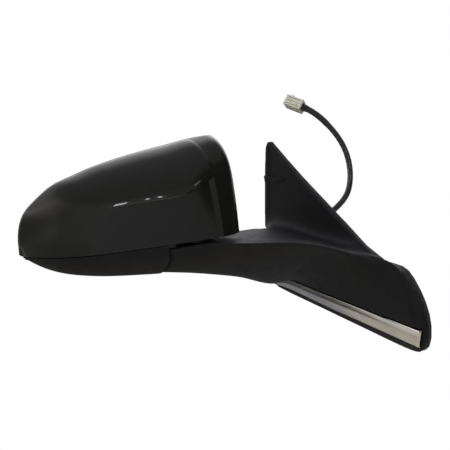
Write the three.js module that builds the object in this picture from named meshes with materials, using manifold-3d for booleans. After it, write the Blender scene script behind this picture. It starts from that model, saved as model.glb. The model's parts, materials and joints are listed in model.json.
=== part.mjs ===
// Car side mirror for a right-hand door: folding head on a sail-and-arm base.
// Millimetres. Origin on the door mounting plane; +X inboard (into the door), +Y rearward, +Z up.
// Head pieces are modelled in the head's own frame, x outboard, y forward, z up, then placed.
import * as THREE from 'three';
import Module from 'manifold-3d';

const wasm = await Module();
wasm.setup();
const { Manifold, Mesh: ManifoldMesh } = wasm;

// ---------------------------------------------------------------- driving dimensions
const HEAD_ORIGIN = [-90, 69, 0]; // inboard end of the rim line, at the rear of the head
const HEAD_SWEEP_DEG = 12; // outboard end of the head leans rearward by this
const PIVOT = [-149, 25]; // fold axis, vertical
const CONE_TOP = { radius: 46, height: 29 }; // seam cone between arm and head
const CONE_LOW = { radius: 42, height: 3 };
const SEAM_GAP = 0.9; // between arm disc and head
const FOLD_REAR_DEG = 58;
const WALL = 2.5; // moulded shell wall
const CAP_WALL = 2.6;
const RIM_FWD = 2; // rim plane, forward of the head origin line
const GIMBAL = { out: 115, fwd: 17.5, up: 75 }; // glass pivot in the head frame
const TILT_PLUNGER = [GIMBAL.out, GIMBAL.up - 26]; // (outboard, height)
const PAN_PLUNGER = [GIMBAL.out - 30, GIMBAL.up];
const EAR_REACH = 18.6; // gimbal ears from the pivot
const EAR_R = 4.5;
const EAR_T = 3;
const GIMBAL_PIN_R = 2;
const GIMBAL_HOLE_R = GIMBAL_PIN_R + 0.06;
const GLASS_REAR = 2.5; // rear face of the glass, forward of the head origin line
const GLASS_T = 2;
const OPENING_GROW = 2.6; // bezel opening beyond the glass outline
const BOWL_DEPTH = 29.5;
const POST_R = 8;
const CABLE_R = 3.3;
const STUD_R = 3;
const STUD_LEN = 20;

// places on the door side: (rearward, height)
const STUDS = { stud_upper: [46, 50], stud_rear: [40, -14], stud_front: [-66, -20] };
const COVER_SCREWS = [[-52, 6], [58, 10]];
const LOCATING_PIN = [-76, -30];
const SAIL_CLIP = [59, 98];
const GROMMET = [-8, 46];
// places in the head: (outboard, height)
const SWIVEL_SCREWS = [[30, 84], [64, 84], [47, 93]];
const ACTUATOR_SCREWS = [[80, 45.5], [143, 45.5], [126.4, 80.4]];

// Cap stations, from the inboard lower corner over the top to the outboard end:
// rim line (outboard, height), crease rail (outboard, forward, height), lower seam (outboard, forward)
const CAP_STATIONS = [
  [[1.5, 40.2], [1.5, 2, 40.2], [1.5, 2]],
  [[-0.2, 62], [0.6, 12, 51], [1, 14]],
  [[-0.4, 88], [0, 25, 66], [0.9, 28]],
  [[-0.2, 113], [0.3, 36, 84], [1, 44]],
  [[0.8, 129.4], [1.8, 42.5, 102.5], [1.9, 57]],
  [[5.8, 136.6], [5.4, 44.2, 110.5], [5, 68]],
  [[20, 136], [16, 50, 105], [17, 76]],
  [[38, 133.2], [31, 56, 98.2], [30, 80.3]],
  [[60, 128.5], [48, 63.5, 90.6], [48, 82]],
  [[88, 122.9], [70, 67.8, 83.6], [72, 81.6]],
  [[115, 116.6], [95, 66.8, 80.4], [99, 77.3]],
  [[143.5, 108.6], [122, 62.5, 77.5], [130, 72]],
  [[164, 101], [149, 56, 72.2], [161, 65]],
  [[187.4, 91.6], [172, 47, 66.5], [180, 56.5]],
  [[206.8, 76.4], [192, 34.5, 59], [197, 44]],
  [[217.8, 64.7], [207, 21, 50.5], [209, 30]],
  [[223, 52.5], [217.5, 11, 40.5], [217, 18]],
  [[224.8, 38], [222.8, 5.5, 30], [221.8, 8.5]],
  [[223.7, 20.8], [223.7, 2, 20.8], [223.7, 2]],
];
const seamHeight = (out) => 40.3 - 0.058 * out - 0.000134 * out * out;

// Lower cover stations: seam (outboard, forward), rim (outboard, height), belly (forward, height)
const BELLY_STATIONS = [
  [[72, 81.5], [74, 25], [46, -1.5]],
  [[92, 78.5], [89, 13.5], [46, -0.8]],
  [[110, 75.5], [106, 7], [46, -0.4]],
  [[130, 72], [125, 3.8], [45, 0.0]],
  [[150, 67.7], [145, 3.4], [43, 0.7]],
  [[168, 62], [164, 4.6], [39, 2.0]],
  [[184, 54], [182, 7], [33, 4.0]],
  [[197, 44], [197, 10.5], [26, 7.2]],
  [[209, 30], [209, 14.8], [16, 12]],
  [[217.5, 16.5], [217, 18], [8, 16.8]],
  [[222.4, 6], [222, 20], [4, 19.4]],
];

// lower edge of the bezel (outboard, height), from the outboard end inboard
const RIM_BOTTOM = [
  [223.7, 20.8], [217, 17.6], [209, 14.4], [197, 10], [182, 6.4], [164, 4], [145, 2.9],
  [125, 3.3], [106, 6.4], [93, 11], [84.5, 19], [79.6, 29], [76.5, 35.2], [72, 36.4],
  [4, 36.4], [2, 37.4],
];
// mirror glass outline (outboard, height)
const GLASS = [
  [13.5, 58], [13, 80], [13.4, 108], [17, 117.5], [25, 121.4], [40, 120.6], [74, 114],
  [109, 106], [142.7, 96.8], [160.8, 89.6], [178.9, 79.4], [192.5, 67], [200.6, 56],
  [204.7, 46], [205.3, 38], [202.9, 29.5], [197.0, 24], [188.9, 19.6], [176.2, 16.4],
  [161.7, 14], [144.5, 13], [125, 13.6], [115, 16.6], [105, 23.4], [97, 32.4], [90, 41.4],
  [82, 46.6], [73, 48.2], [22, 48.2], [16, 51],
];
// door flange outline (rearward, height)
const FLANGE = [
  [75, -30], [76, 0], [76, 26], [76.4, 85], [75.9, 112], [75.6, 123.6], [73.8, 125.2],
  [63, 117.8], [25, 92], [-31, 57.8], [-47, 48.2], [-78, 28.6], [-106, 14.4], [-116, 12],
  [-129, 10.8], [-138, 7.4], [-146, 0.2], [-155, -10.2], [-162.5, -21.5], [-168, -33],
  [-171, -45], [-171.4, -57.5], [-168.8, -67], [-163, -72.2], [-156, -73], [-94.7, -64.2],
  [-72.3, -60.8], [-14.9, -52], [34.5, -44.6], [62, -39.4], [72, -35.6],
];
// seal on the door side (rearward, height), set back along the sloping edge
const GASKET = [
  [74, -29.7], [75, 0], [75, 26], [75.2, 85], [74.2, 108], [72.6, 115.2], [70.6, 116.3],
  [65.4, 113.4], [27.3, 88.5], [-28.8, 54.2], [-44.8, 44.6], [-75.9, 24.9], [-105.2, 12.3],
  [-116, 11.7], [-128.9, 10.5], [-137.8, 7.1], [-145.8, 0], [-154.8, -10.4], [-162.2, -21.6],
  [-167.7, -33.1], [-170.7, -45], [-171.1, -57.5], [-168.5, -66.8], [-162.9, -71.9],
  [-156, -72.7], [-94.8, -63.2], [-72.5, -59.8], [-15, -51], [34.3, -43.6], [61.7, -38.4],
  [71.3, -34.8],
];
// bright moulding (rearward, height): the line above it running forward, its lower edge running back
const TRIM_TOP = [
  [60.5, -33.6], [50, -29.4], [38.6, -26.4], [12.5, -28.6], [-15, -31.8], [-45.7, -35],
  [-82, -38.6], [-111.5, -41.9], [-168.4, -47.8],
];
const TRIM_LOW = [
  [-165.4, -65.6], [-82.4, -54.3], [-46, -49.6], [-4.7, -44.1], [23.9, -40.1], [54, -36.4],
];
// lower edge of the moulding's seal (rearward, height)
const TRIM_SEAL_LOW = [
  [-166, -71.2], [-156, -71.6], [-94.7, -63], [-72.3, -59.6], [-14.9, -50.8], [34.5, -43.4],
  [56, -39.4],
];

// Arm and foot stations, each point (x, y, z): front crease, rear top, rear bottom, lower front edge
const ARM_STATIONS = [
  [[-205, 12, 27], [-200, 66, 27], [-200, 66, 8], [-203, 30, 4]],
  [[-165, -5.7, 32.3], [-165, 68, 28], [-165, 66, 5], [-165, 17, 0.8]],
  [[-146, -16.4, 33.6], [-146, 68.6, 28], [-146, 66.5, 3], [-144, 11.5, -2]],
  [[-126, -25.8, 33.6], [-120, 67, 27.5], [-120, 65, 0], [-121, 8, -6]],
  [[-102, -38.5, 33], [-90, 64, 27.8], [-90, 62, -5], [-96, 6.3, -11.5]],
  [[-80, -49.3, 32.3], [-58, 63.5, 28.8], [-58, 61.5, -14], [-66, 12, -21]],
  [[-56, -69, 29], [-26, 67, 29.2], [-24, 65, -26], [-34, 24, -27]],
  [[-48, -79, 26.5], [-8, 72, 29], [-8, 68, -33], [-14, 38, -29]],
  [[-40, -89.7, 23.4], [-7, 50, 27], [-8, 30, -42], [-14, 8, -31]],
  [[-30, -106, 20.3], [-7, 5, 22.4], [-8, -14, -46], [-14, -34, -35]],
  [[-25, -115.5, 18.7], [-7, -44, 20], [-8, -56, -52], [-14, -66, -39]],
  [[-18.5, -130, 16], [-7, -95, 15], [-8, -110, -58], [-14, -118, -44]],
  [[-13.6, -138, 9.6], [-7, -130, 8.5], [-8, -156, -60], [-14, -162, -48]],
];

// base bracket plate, its raised pads on the door skin, both (rearward, height)
const PLATE_OUTLINE = [
  [66, -29], [66, 70], [30, 76], [-20, 49], [-32, 26], [-86, 8], [-95, -40], [-62, -50],
  [30, -37],
];
const BRACKET_PADS = [
  [[-10, -16], [24, -16], [24, 12], [-10, 12]],
  [[34, 38], [58, 38], [58, 62], [34, 62]],
  [[30, -24], [52, -24], [52, -4], [30, -4]],
  [[-80, -34], [-56, -34], [-56, -8], [-80, -8]],
];
// beam from the plate to the pivot, plan view (x, y)
const BEAM_PLAN = [[-3.5, -12], [-3.5, 50], [-70, 46], [-132, 42], [-132, 11], [-70, 6]];

// cable centre lines (x, y, z): door harness, and head harness past its start at the post
const DOOR_CABLE = [
  [-7, -8, 44.5], [-2, -8.6, 46], [3, -10.5, 49], [9, -15, 55], [22, -19, 68.5],
  [30, -17.5, 83.6], [36, -10.8, 98.9], [38, -3, 114.3], [38, 9, 129.6], [36, 25.2, 144],
  [32, 39.3, 154.6], [28.5, 51, 160.6], [27, 57.5, 162.6],
];
const HEAD_CABLE = [[64, 54, 79], [74, 60, 74], [80, 61, 66], [84, 57.5, 60], [84, 50.6, 57]];

// ---------------------------------------------------------------- point and solid helpers
const vec = (x, y, z) => new THREE.Vector3(x, y, z);
const lerp = (a, b, t) => a + (b - a) * t;
const mix = (a, b, t) => a.map((value, k) => lerp(value, b[k], t));
const rad = (degrees) => (degrees * Math.PI) / 180;
const { clamp } = THREE.MathUtils;
const add = (...solids) => Manifold.union(solids);
const cut = (body, ...tools) => tools.reduce((rest, tool) => rest.subtract(tool), body);
const biggest = (body) => body.decompose().sort((a, b) => b.volume() - a.volume())[0];

// closed geometry to a manifold: vertices welded at 0.0001 mm, faces turned outward
function solid(geometry) {
  const position = (geometry.index ? geometry.toNonIndexed() : geometry).getAttribute('position');
  const seen = new Map();
  const verts = [];
  const indices = [];
  for (let i = 0; i < position.count; i++) {
    const point = [position.getX(i), position.getY(i), position.getZ(i)];
    const grid = point.map((c) => Math.round(c * 1e4) + 0);
    const key = grid.join(',');
    if (!seen.has(key)) {
      seen.set(key, seen.size);
      verts.push(...grid.map((c) => c / 1e4));
    }
    indices.push(seen.get(key));
  }
  const tris = [];
  let volume = 0; // six times the signed volume
  for (let i = 0; i < indices.length; i += 3) {
    const [a, b, c] = indices.slice(i, i + 3);
    if (a === b || b === c || a === c) continue;
    tris.push(a, b, c);
    const [ax, ay, az] = verts.slice(3 * a, 3 * a + 3);
    const [bx, by, bz] = verts.slice(3 * b, 3 * b + 3);
    const [cx, cy, cz] = verts.slice(3 * c, 3 * c + 3);
    volume += ax * (by * cz - bz * cy) - ay * (bx * cz - bz * cx) + az * (bx * cy - by * cx);
  }
  if (volume < 0) {
    for (let i = 0; i < tris.length; i += 3) {
      [tris[i + 1], tris[i + 2]] = [tris[i + 2], tris[i + 1]];
    }
  }
  return new Manifold(new ManifoldMesh({
    numProp: 3,
    vertProperties: new Float32Array(verts),
    triVerts: new Uint32Array(tris),
  }));
}

function trianglesToSolid(coordinates) {
  const geometry = new THREE.BufferGeometry();
  geometry.setAttribute('position', new THREE.Float32BufferAttribute(coordinates, 3));
  return solid(geometry);
}

function toGeometry(body) {
  const { numVert, numProp, vertProperties, triVerts } = body.getMesh();
  const coordinates = new Float32Array(numVert * 3);
  for (let i = 0; i < numVert; i++) {
    for (let k = 0; k < 3; k++) coordinates[3 * i + k] = vertProperties[i * numProp + k];
  }
  const geometry = new THREE.BufferGeometry();
  geometry.setAttribute('position', new THREE.BufferAttribute(coordinates, 3));
  geometry.setIndex(new THREE.BufferAttribute(new Uint32Array(triVerts), 1));
  geometry.computeVertexNormals();
  return geometry;
}

// outline extruded by depth; the 16 matrix entries (row by row) set it in its plane
function extrude(outline, depth, matrixRows, holes = []) {
  const path = (points) => points.map(([a, b]) => new THREE.Vector2(a, b));
  const shape = new THREE.Shape(path(outline));
  shape.holes.push(...holes.map((hole) => new THREE.Path(path(hole))));
  const geometry = new THREE.ExtrudeGeometry(shape, { depth, bevelEnabled: false, steps: 1 });
  geometry.applyMatrix4(new THREE.Matrix4().set(...matrixRows));
  return solid(geometry);
}
// prisms along an axis: outlines are (y, z), (x, z) and (x, y)
const prismX = (outline, from, to, holes) => extrude(
  outline, to - from, [0, 0, 1, from, 1, 0, 0, 0, 0, 1, 0, 0, 0, 0, 0, 1], holes);
const prismY = (outline, from, to) => extrude(
  outline, to - from, [1, 0, 0, 0, 0, 0, -1, to, 0, 1, 0, 0, 0, 0, 0, 1]);
const prismZ = (outline, from, to) => extrude(
  outline, to - from, [1, 0, 0, 0, 0, 1, 0, 0, 0, 0, 1, from, 0, 0, 0, 1]);

// inward offset of a simple polygon: every edge moves in, and an edge that turns over is dropped
function inset(outline, distance) {
  const next = (i) => outline[(i + 1) % outline.length];
  const area = outline.reduce((sum, p, i) => sum + p[0] * next(i)[1] - p[1] * next(i)[0], 0);
  const turn = area > 0 ? 1 : -1;
  let edges = outline.map((p, i) => {
    const q = next(i);
    const length = Math.hypot(q[0] - p[0], q[1] - p[1]);
    const dir = [(q[0] - p[0]) / length, (q[1] - p[1]) / length];
    const move = ([x, y]) => [x - dir[1] * turn * distance, y + dir[0] * turn * distance];
    return { dir, start: move(p), end: move(q) };
  });
  for (;;) {
    const count = edges.length;
    const corners = edges.map(({ dir, start }, i) => {
      const before = edges[(i + count - 1) % count];
      const cross = before.dir[0] * dir[1] - before.dir[1] * dir[0];
      if (Math.abs(cross) < 0.03) { // nearly straight
        return [(before.end[0] + start[0]) / 2, (before.end[1] + start[1]) / 2];
      }
      const gap = [start[0] - before.start[0], start[1] - before.start[1]];
      const along = (gap[0] * dir[1] - gap[1] * dir[0]) / cross;
      return before.start.map((value, k) => value + before.dir[k] * along);
    });
    const flipped = edges.findIndex(({ dir }, i) => {
      const p = corners[i];
      const q = corners[(i + 1) % count];
      return (q[0] - p[0]) * dir[0] + (q[1] - p[1]) * dir[1] < 1e-3;
    });
    if (flipped < 0) return corners;
    edges = edges.filter((_, i) => i !== flipped);
  }
}

// cylinder or cone frustum running from `at` along +axis
function frustum(startRadius, endRadius, length, at, axis, segments) {
  const geometry = new THREE.CylinderGeometry(endRadius, startRadius, length, segments);
  geometry.translate(0, length / 2, 0);
  if (axis === 'z') geometry.rotateX(Math.PI / 2);
  if (axis === 'x') geometry.rotateZ(-Math.PI / 2);
  geometry.translate(...at);
  return solid(geometry);
}
const rodX = (radius, start, length, [y, z], segments) =>
  frustum(radius, radius, length, [start, y, z], 'x', segments);
const rodY = (radius, start, length, [x, z], segments) =>
  frustum(radius, radius, length, [x, start, z], 'y', segments);
const rodZ = (radius, start, length, [x, y], segments) =>
  frustum(radius, radius, length, [x, y, start], 'z', segments);
const rodsX = (places, radius, start, length, segments) =>
  places.map((place) => rodX(radius, start, length, place, segments));
const rodsY = (places, radius, start, length, segments) =>
  places.map((place) => rodY(radius, start, length, place, segments));

function box([x0, x1], [y0, y1], [z0, z1]) {
  const geometry = new THREE.BoxGeometry(x1 - x0, y1 - y0, z1 - z0);
  geometry.translate((x0 + x1) / 2, (y0 + y1) / 2, (z0 + z1) / 2);
  return solid(geometry);
}

// round collar about a vertical axis
function collar(inner, outer, bottom, top, [x, y], segments) {
  const profile = [[inner, bottom], [outer, bottom], [outer, top], [inner, top], [inner, bottom]];
  const points = profile.map(([r, h]) => new THREE.Vector2(r, h));
  const geometry = new THREE.LatheGeometry(points, segments);
  geometry.rotateX(Math.PI / 2);
  geometry.translate(x, y, 0);
  return solid(geometry);
}

// skin over a stack of equal rings, capped at both ends
function loft(rings) {
  const count = rings[0].length;
  const coordinates = [];
  const triangle = (a, b, c) => coordinates.push(...a, ...b, ...c);
  for (let i = 0; i + 1 < rings.length; i++) {
    for (let k = 0; k < count; k++) {
      const far = (k + 1) % count;
      triangle(rings[i][k], rings[i][far], rings[i + 1][far]);
      triangle(rings[i][k], rings[i + 1][far], rings[i + 1][k]);
    }
  }
  for (const [ring, flip] of [[rings[0], true], [rings[rings.length - 1], false]]) {
    const middle = [0, 1, 2].map((k) => ring.reduce((sum, p) => sum + p[k], 0) / count);
    for (let k = 0; k < count; k++) {
      const a = ring[k];
      const b = ring[(k + 1) % count];
      if (flip) triangle(middle, b, a);
      else triangle(middle, a, b);
    }
  }
  return trianglesToSolid(coordinates);
}

// round section with flat sides, swept along a curve
function sweep(curve, radius, steps, sides) {
  const section = new THREE.Shape();
  for (let k = 0; k < sides; k++) {
    const angle = (2 * k * Math.PI) / sides;
    if (k) section.lineTo(radius * Math.cos(angle), radius * Math.sin(angle));
    else section.moveTo(radius, 0);
  }
  const options = { steps, extrudePath: curve, bevelEnabled: false };
  return solid(new THREE.ExtrudeGeometry(section, options));
}
function tube(points, radius, steps, sides) {
  const line = points.map((p) => vec(...p));
  return sweep(new THREE.CatmullRomCurve3(line, false, 'centripetal'), radius, steps, sides);
}

// uniform Catmull-Rom through equally spaced points, t from 0 to 1
function splineAt(points, t) {
  const last = points.length - 1;
  const x = clamp(t * last, 0, last - 1e-9);
  const i = Math.floor(x);
  const f = x - i;
  const [p0, p1, p2, p3] = [
    points[Math.max(0, i - 1)], points[i], points[i + 1], points[Math.min(last, i + 2)],
  ];
  return p1.map((_, k) => 0.5 * (2 * p1[k] + (p2[k] - p0[k]) * f
    + (2 * p0[k] - 5 * p1[k] + 4 * p2[k] - p3[k]) * f * f
    + (3 * p1[k] - p0[k] - 3 * p2[k] + p3[k]) * f * f * f));
}

// ---------------------------------------------------------------- frames, materials, parts
const headMatrix = new THREE.Matrix4()
  .makeTranslation(...HEAD_ORIGIN)
  .multiply(new THREE.Matrix4().makeRotationZ(Math.PI - rad(HEAD_SWEEP_DEG)));
const headInverse = headMatrix.clone().invert();
const toHead = (body) => body.transform(headInverse.elements);
// fold axis in the head frame
const [pivotOut, pivotFwd] = vec(...PIVOT, 0).applyMatrix4(headInverse).toArray();
const HEAD_PIVOT = [pivotOut, pivotFwd];

const MATERIALS = {
  gloss: { color: '#171716', roughness: 0.12, metalness: 0 },
  matte: { color: '#26272a', roughness: 0.62, metalness: 0 },
  black: { color: '#1b1b1d', roughness: 0.6, metalness: 0 },
  rubber: { color: '#141414', roughness: 0.85, metalness: 0 },
  chrome: { color: '#9b958d', roughness: 0.18, metalness: 1 },
  cast: { color: '#8d9092', roughness: 0.5, metalness: 0.9 },
  steel: { color: '#9a9c9f', roughness: 0.35, metalness: 1 },
  zinc: { color: '#b4b3a8', roughness: 0.4, metalness: 1 },
  mirror: { color: '#c9d0d6', roughness: 0.03, metalness: 1 },
  natural: { color: '#cfcfc0', roughness: 0.5, metalness: 0 },
  grey: { color: '#5a5c5f', roughness: 0.6, metalness: 0 },
  foil: { color: '#b8742c', roughness: 0.45, metalness: 0 },
  white: { color: '#d9d9d2', roughness: 0.5, metalness: 0 },
};

const root = new THREE.Group();
root.name = 'side_mirror';
function addMesh(name, style, body) {
  const material = new THREE.MeshStandardMaterial({ ...MATERIALS[style], name: style });
  const mesh = new THREE.Mesh(toGeometry(body), material);
  mesh.name = name;
  root.add(mesh);
}
// a part is the largest piece of its solid; head parts are placed from the head frame
const addPart = (name, style, body) => addMesh(name, style, biggest(body));
const addHeadPart = (name, style, body) =>
  addMesh(name, style, biggest(body).transform(headMatrix.elements));

// ---------------------------------------------------------------- cap
const CAP_STEPS = 34; // along the stations
const UPPER_STEPS = 5; // rim to crease
const LOWER_STEPS = 2; // crease to seam
const CAP_RIM = CAP_STATIONS.map(([[out, up]]) => [out, RIM_FWD, up]);
const CAP_CREASE = CAP_STATIONS.map((station) => station[1]);
const CAP_SEAM = CAP_STATIONS.map((station) => station[2]);

// u runs along the stations; v is 0 at the rim, 1 at the crease, 2 at the seam
function capPoint(u, v) {
  const rim = splineAt(CAP_RIM, u);
  const crease = splineAt(CAP_CREASE, u);
  if (v <= 1) {
    const depth = crease[1] - rim[1];
    const drop = rim[2] - crease[2];
    const curvedA = [lerp(rim[0], crease[0], 0.4), rim[1] + 0.45 * depth, rim[2] - 0.1 * drop];
    const curvedB = [
      lerp(rim[0], crease[0], 0.85), crease[1] - 0.12 * depth, crease[2] + 0.4 * drop,
    ];
    const flatness = clamp((0.27 - u) / 0.06, 0, 1); // inboard flank is a plain wall
    const a = mix(curvedA, mix(rim, crease, 1 / 3), flatness);
    const b = mix(curvedB, mix(rim, crease, 2 / 3), flatness);
    const w = 1 - v;
    return rim.map((_, k) => w * w * w * rim[k] + 3 * w * w * v * a[k]
      + 3 * w * v * v * b[k] + v * v * v * crease[k]);
  }
  const [seamOut, seamFwd] = splineAt(CAP_SEAM, u);
  const t = v - 1;
  const bulge = 2.2 * 4 * t * (1 - t) * Math.min(1, (seamFwd - 2) / 40);
  const point = mix(crease, [seamOut, seamFwd, seamHeight(seamOut)], t);
  return [point[0], point[1] + bulge, point[2]];
}

function capGrid() {
  const levels = [];
  for (let j = 0; j <= UPPER_STEPS; j++) levels.push(j / UPPER_STEPS);
  for (let j = 1; j <= LOWER_STEPS; j++) levels.push(1 + j / LOWER_STEPS);
  return Array.from({ length: CAP_STEPS + 1 }, (_, i) => levels.map((v) => {
    const [out, fwd, up] = capPoint(i / CAP_STEPS, v);
    return vec(out, Math.max(RIM_FWD, fwd), up);
  }));
}

// every grid point moved inward along its averaged normal
function insetGrid(grid, distance) {
  const lastRow = grid.length - 1;
  const lastCol = grid[0].length - 1;
  const normals = grid.map((row, i) => row.map((point, j) => {
    const sum = vec(0, 0, 0);
    for (const [di, dj] of [[1, 1], [-1, 1], [-1, -1], [1, -1]]) {
      const along = grid[clamp(i + di, 0, lastRow)][j].clone().sub(point);
      const across = grid[i][clamp(j + dj, 0, lastCol)].clone().sub(point);
      const normal = along.cross(across).multiplyScalar(di * dj);
      if (normal.length() > 1e-6) sum.add(normal.normalize());
    }
    return sum;
  }));
  // the end rows are degenerate and borrow their neighbours' normals
  for (let j = 0; j <= lastCol; j++) {
    const near = clamp(j, 1, lastCol - 1);
    normals[0][j] = normals[1][near].clone();
    normals[lastRow][j] = normals[lastRow - 1][near].clone();
  }
  return grid.map((row, i) => row.map((point, j) =>
    point.clone().addScaledVector(normals[i][j].normalize(), -distance)));
}

// solid between two matching grids
function shell(outer, inner) {
  const coordinates = [];
  const quad = (a, b, c, d) => {
    for (const p of [a, b, c, a, c, d]) coordinates.push(...p.toArray());
  };
  const rows = outer.length - 1;
  const cols = outer[0].length - 1;
  for (let i = 0; i < rows; i++) {
    for (let j = 0; j < cols; j++) {
      quad(outer[i][j], outer[i + 1][j], outer[i + 1][j + 1], outer[i][j + 1]);
      quad(inner[i][j], inner[i][j + 1], inner[i + 1][j + 1], inner[i + 1][j]);
    }
    quad(outer[i][0], inner[i][0], inner[i + 1][0], outer[i + 1][0]);
    quad(outer[i][cols], outer[i + 1][cols], inner[i + 1][cols], inner[i][cols]);
  }
  for (let j = 0; j < cols; j++) {
    quad(outer[0][j], outer[0][j + 1], inner[0][j + 1], inner[0][j]);
    quad(outer[rows][j], inner[rows][j], inner[rows][j + 1], outer[rows][j + 1]);
  }
  return trianglesToSolid(coordinates);
}

const capOuter = capGrid();
// everything inside the cap's skin moved in by the distance, run on below and behind it
function capRoom(distance) {
  return loft(insetGrid(capOuter, distance).slice(1, -1).map((row) => {
    const points = row.map((p) => p.toArray());
    const rim = points[0];
    const seam = points[points.length - 1];
    return [[rim[0], -9, rim[2]], ...points, [seam[0], seam[1], -40], [rim[0], -9, -40]];
  }));
}

function capCover() {
  const inner = insetGrid(capOuter, CAP_WALL).map((row) => row.map((p, j) => vec(
    p.x,
    j === 0 ? RIM_FWD : Math.max(RIM_FWD, p.y),
    j === row.length - 1 ? seamHeight(p.x) : p.z,
  )));
  return shell(capOuter.slice(1, -1), inner.slice(1, -1));
}
addHeadPart('cap_cover', 'gloss', capCover());

// ---------------------------------------------------------------- seam cone and fold clearance
function seamCone(grow) {
  const [bottom, top] = [-30, 60];
  const slope = (CONE_TOP.radius - CONE_LOW.radius) / (CONE_TOP.height - CONE_LOW.height);
  const radiusAt = (z) => CONE_LOW.radius + slope * (z - CONE_LOW.height) + grow;
  return frustum(radiusAt(bottom), radiusAt(top), top - bottom, [...PIVOT, bottom], 'z', 48);
}
// region inboard of the pivot, bounded by the tangent at the rearward fold angle
function foldWedge(grow) {
  const radius = 46.9 + grow;
  const reach = 160;
  const normal = rad(90 + FOLD_REAR_DEG + 2);
  const dir = rad(FOLD_REAR_DEG + 2);
  const [x, y] = PIVOT;
  const tangent = [x + radius * Math.cos(normal), y + radius * Math.sin(normal)];
  const far = [tangent[0] + reach * Math.cos(dir), tangent[1] + reach * Math.sin(dir)];
  return prismZ([PIVOT, tangent, far, [150, far[1]], [150, -200], [x + 5, -200]], -40, 60);
}
const foldClearance = (grow) => toHead(add(seamCone(SEAM_GAP + grow), foldWedge(grow)));

// ---------------------------------------------------------------- lower cover
// wall 0 gives the outer skin; a wall moves it in and runs its open edges past the outer one
function bellyRing([[seamOut, seamFwd], [rimOut, rimUp], [bellyFwd, bellyUp]], wall) {
  const top = seamHeight(seamOut) - SEAM_GAP;
  const lift = wall ? 8 : 0;
  const rear = RIM_FWD - (wall ? 6 : 0);
  const outAt = (t) => lerp(seamOut, rimOut, t);
  const fwdAt = (t) => lerp(seamFwd, bellyFwd, t);
  const upAt = (t) => lerp(top, bellyUp, t);
  return [
    [seamOut, seamFwd - wall, top + lift],
    [seamOut, seamFwd - wall, top],
    [outAt(0.1), fwdAt(0.05) - wall, upAt(0.42)],
    [outAt(0.2), fwdAt(0.3) - wall * 0.8, upAt(0.78) + wall * 0.6],
    [outAt(0.35), fwdAt(0.66), upAt(0.96) + wall],
    [outAt(0.6), bellyFwd * 0.8, bellyUp + wall],
    [outAt(0.8), lerp(bellyFwd, RIM_FWD, 0.6), lerp(bellyUp, rimUp, 0.45) + wall],
    [rimOut, rear, rimUp + wall],
    [rimOut, rear, Math.max(top, rimUp) + lift],
  ];
}

function lowerCover() {
  const outer = loft(BELLY_STATIONS.map((station) => bellyRing(station, 0)));
  const rings = BELLY_STATIONS.slice(0, -1).map((station) => bellyRing(station, WALL));
  const end = rings.pop().map(([out, fwd, up]) => [out - 1.5, fwd, up]);
  const inner = loft([...rings, end]);
  return cut(outer, foldClearance(0), cut(inner, foldClearance(WALL)));
}
addHeadPart('lower_cover', 'matte', lowerCover());

// ---------------------------------------------------------------- head frame
const opening = inset(GLASS, -OPENING_GROW);

// bowl behind the glass: the opening outline shrinking towards its centre as it goes forward
function bowl(grow, start) {
  const [centreOut, centreUp] = [118, 72];
  const outline = inset(opening, -grow);
  const end = BOWL_DEPTH + (grow > 0 ? 2.4 : 0);
  return loft([start, 12, 18, 24, end].map((fwd) => {
    const t = Math.max(0, (fwd - 12) / (BOWL_DEPTH - 12));
    return outline.map(([out, up]) => [
      centreOut + (out - centreOut) * (1 - 0.03 * (out > centreOut ? t : t * t)),
      fwd,
      centreUp + (up - centreUp) * (up > centreUp ? 1 - 0.11 * t * t : 1 - 0.06 * t),
    ]);
  }));
}

// horizontal floor around the fold axis, following the cap seam
function pivotFloor() {
  const seam = [];
  for (let i = 3; i <= 27; i++) {
    const [out, fwd] = capPoint(i / 45, 2);
    if (out < 74) seam.push([out, fwd]);
  }
  return prismZ(inset([...seam, [75.5, 60], [75.5, 1.5], [2, 1.5]], 3.9), 37.6, 40.1);
}

function headFrame() {
  const rim = [];
  for (let i = 1; i <= 44; i++) {
    const [out, , up] = capPoint(i / 45, 0);
    rim.push([out, up]);
  }
  const bezel = prismY(inset([...rim, ...RIM_BOTTOM], 0.25), -2.5, 1.7);
  const lowRoom = (grow) => foldClearance(WALL + grow)
    .intersect(box([-50, 260], [-20, 120], [-60, 36 + grow]));
  const bowlOuter = cut(bowl(2, 0).intersect(capRoom(CAP_WALL + 0.8)), lowRoom(0.5));
  const bowlInner = cut(bowl(0, -8).intersect(capRoom(CAP_WALL + 2.3)), lowRoom(2.4));
  const rib = box([19, 21.5], [30, 60], [40, 52]);
  const bosses = rodsY(SWIVEL_SCREWS, 4.2, 31.5, 1.9, 16);
  const actuatorWindow = prismY([
    [73, 36.5], [149, 36.5], [152, 39.5], [152, 89], [149, 92], [73, 92], [70.6, 89],
    [70.6, 39.5],
  ], 26, 36);
  return cut(
    add(bezel, bowlOuter, pivotFloor(), rib, ...bosses),
    prismY(opening, -4, 3),
    bowlInner,
    actuatorWindow,
    rodZ(17.6, 36, 6, HEAD_PIVOT, 32),
    ...rodsY(SWIVEL_SCREWS, 1.6, 28, 9, 12),
  );
}
addHeadPart('head_frame', 'black', headFrame());

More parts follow.
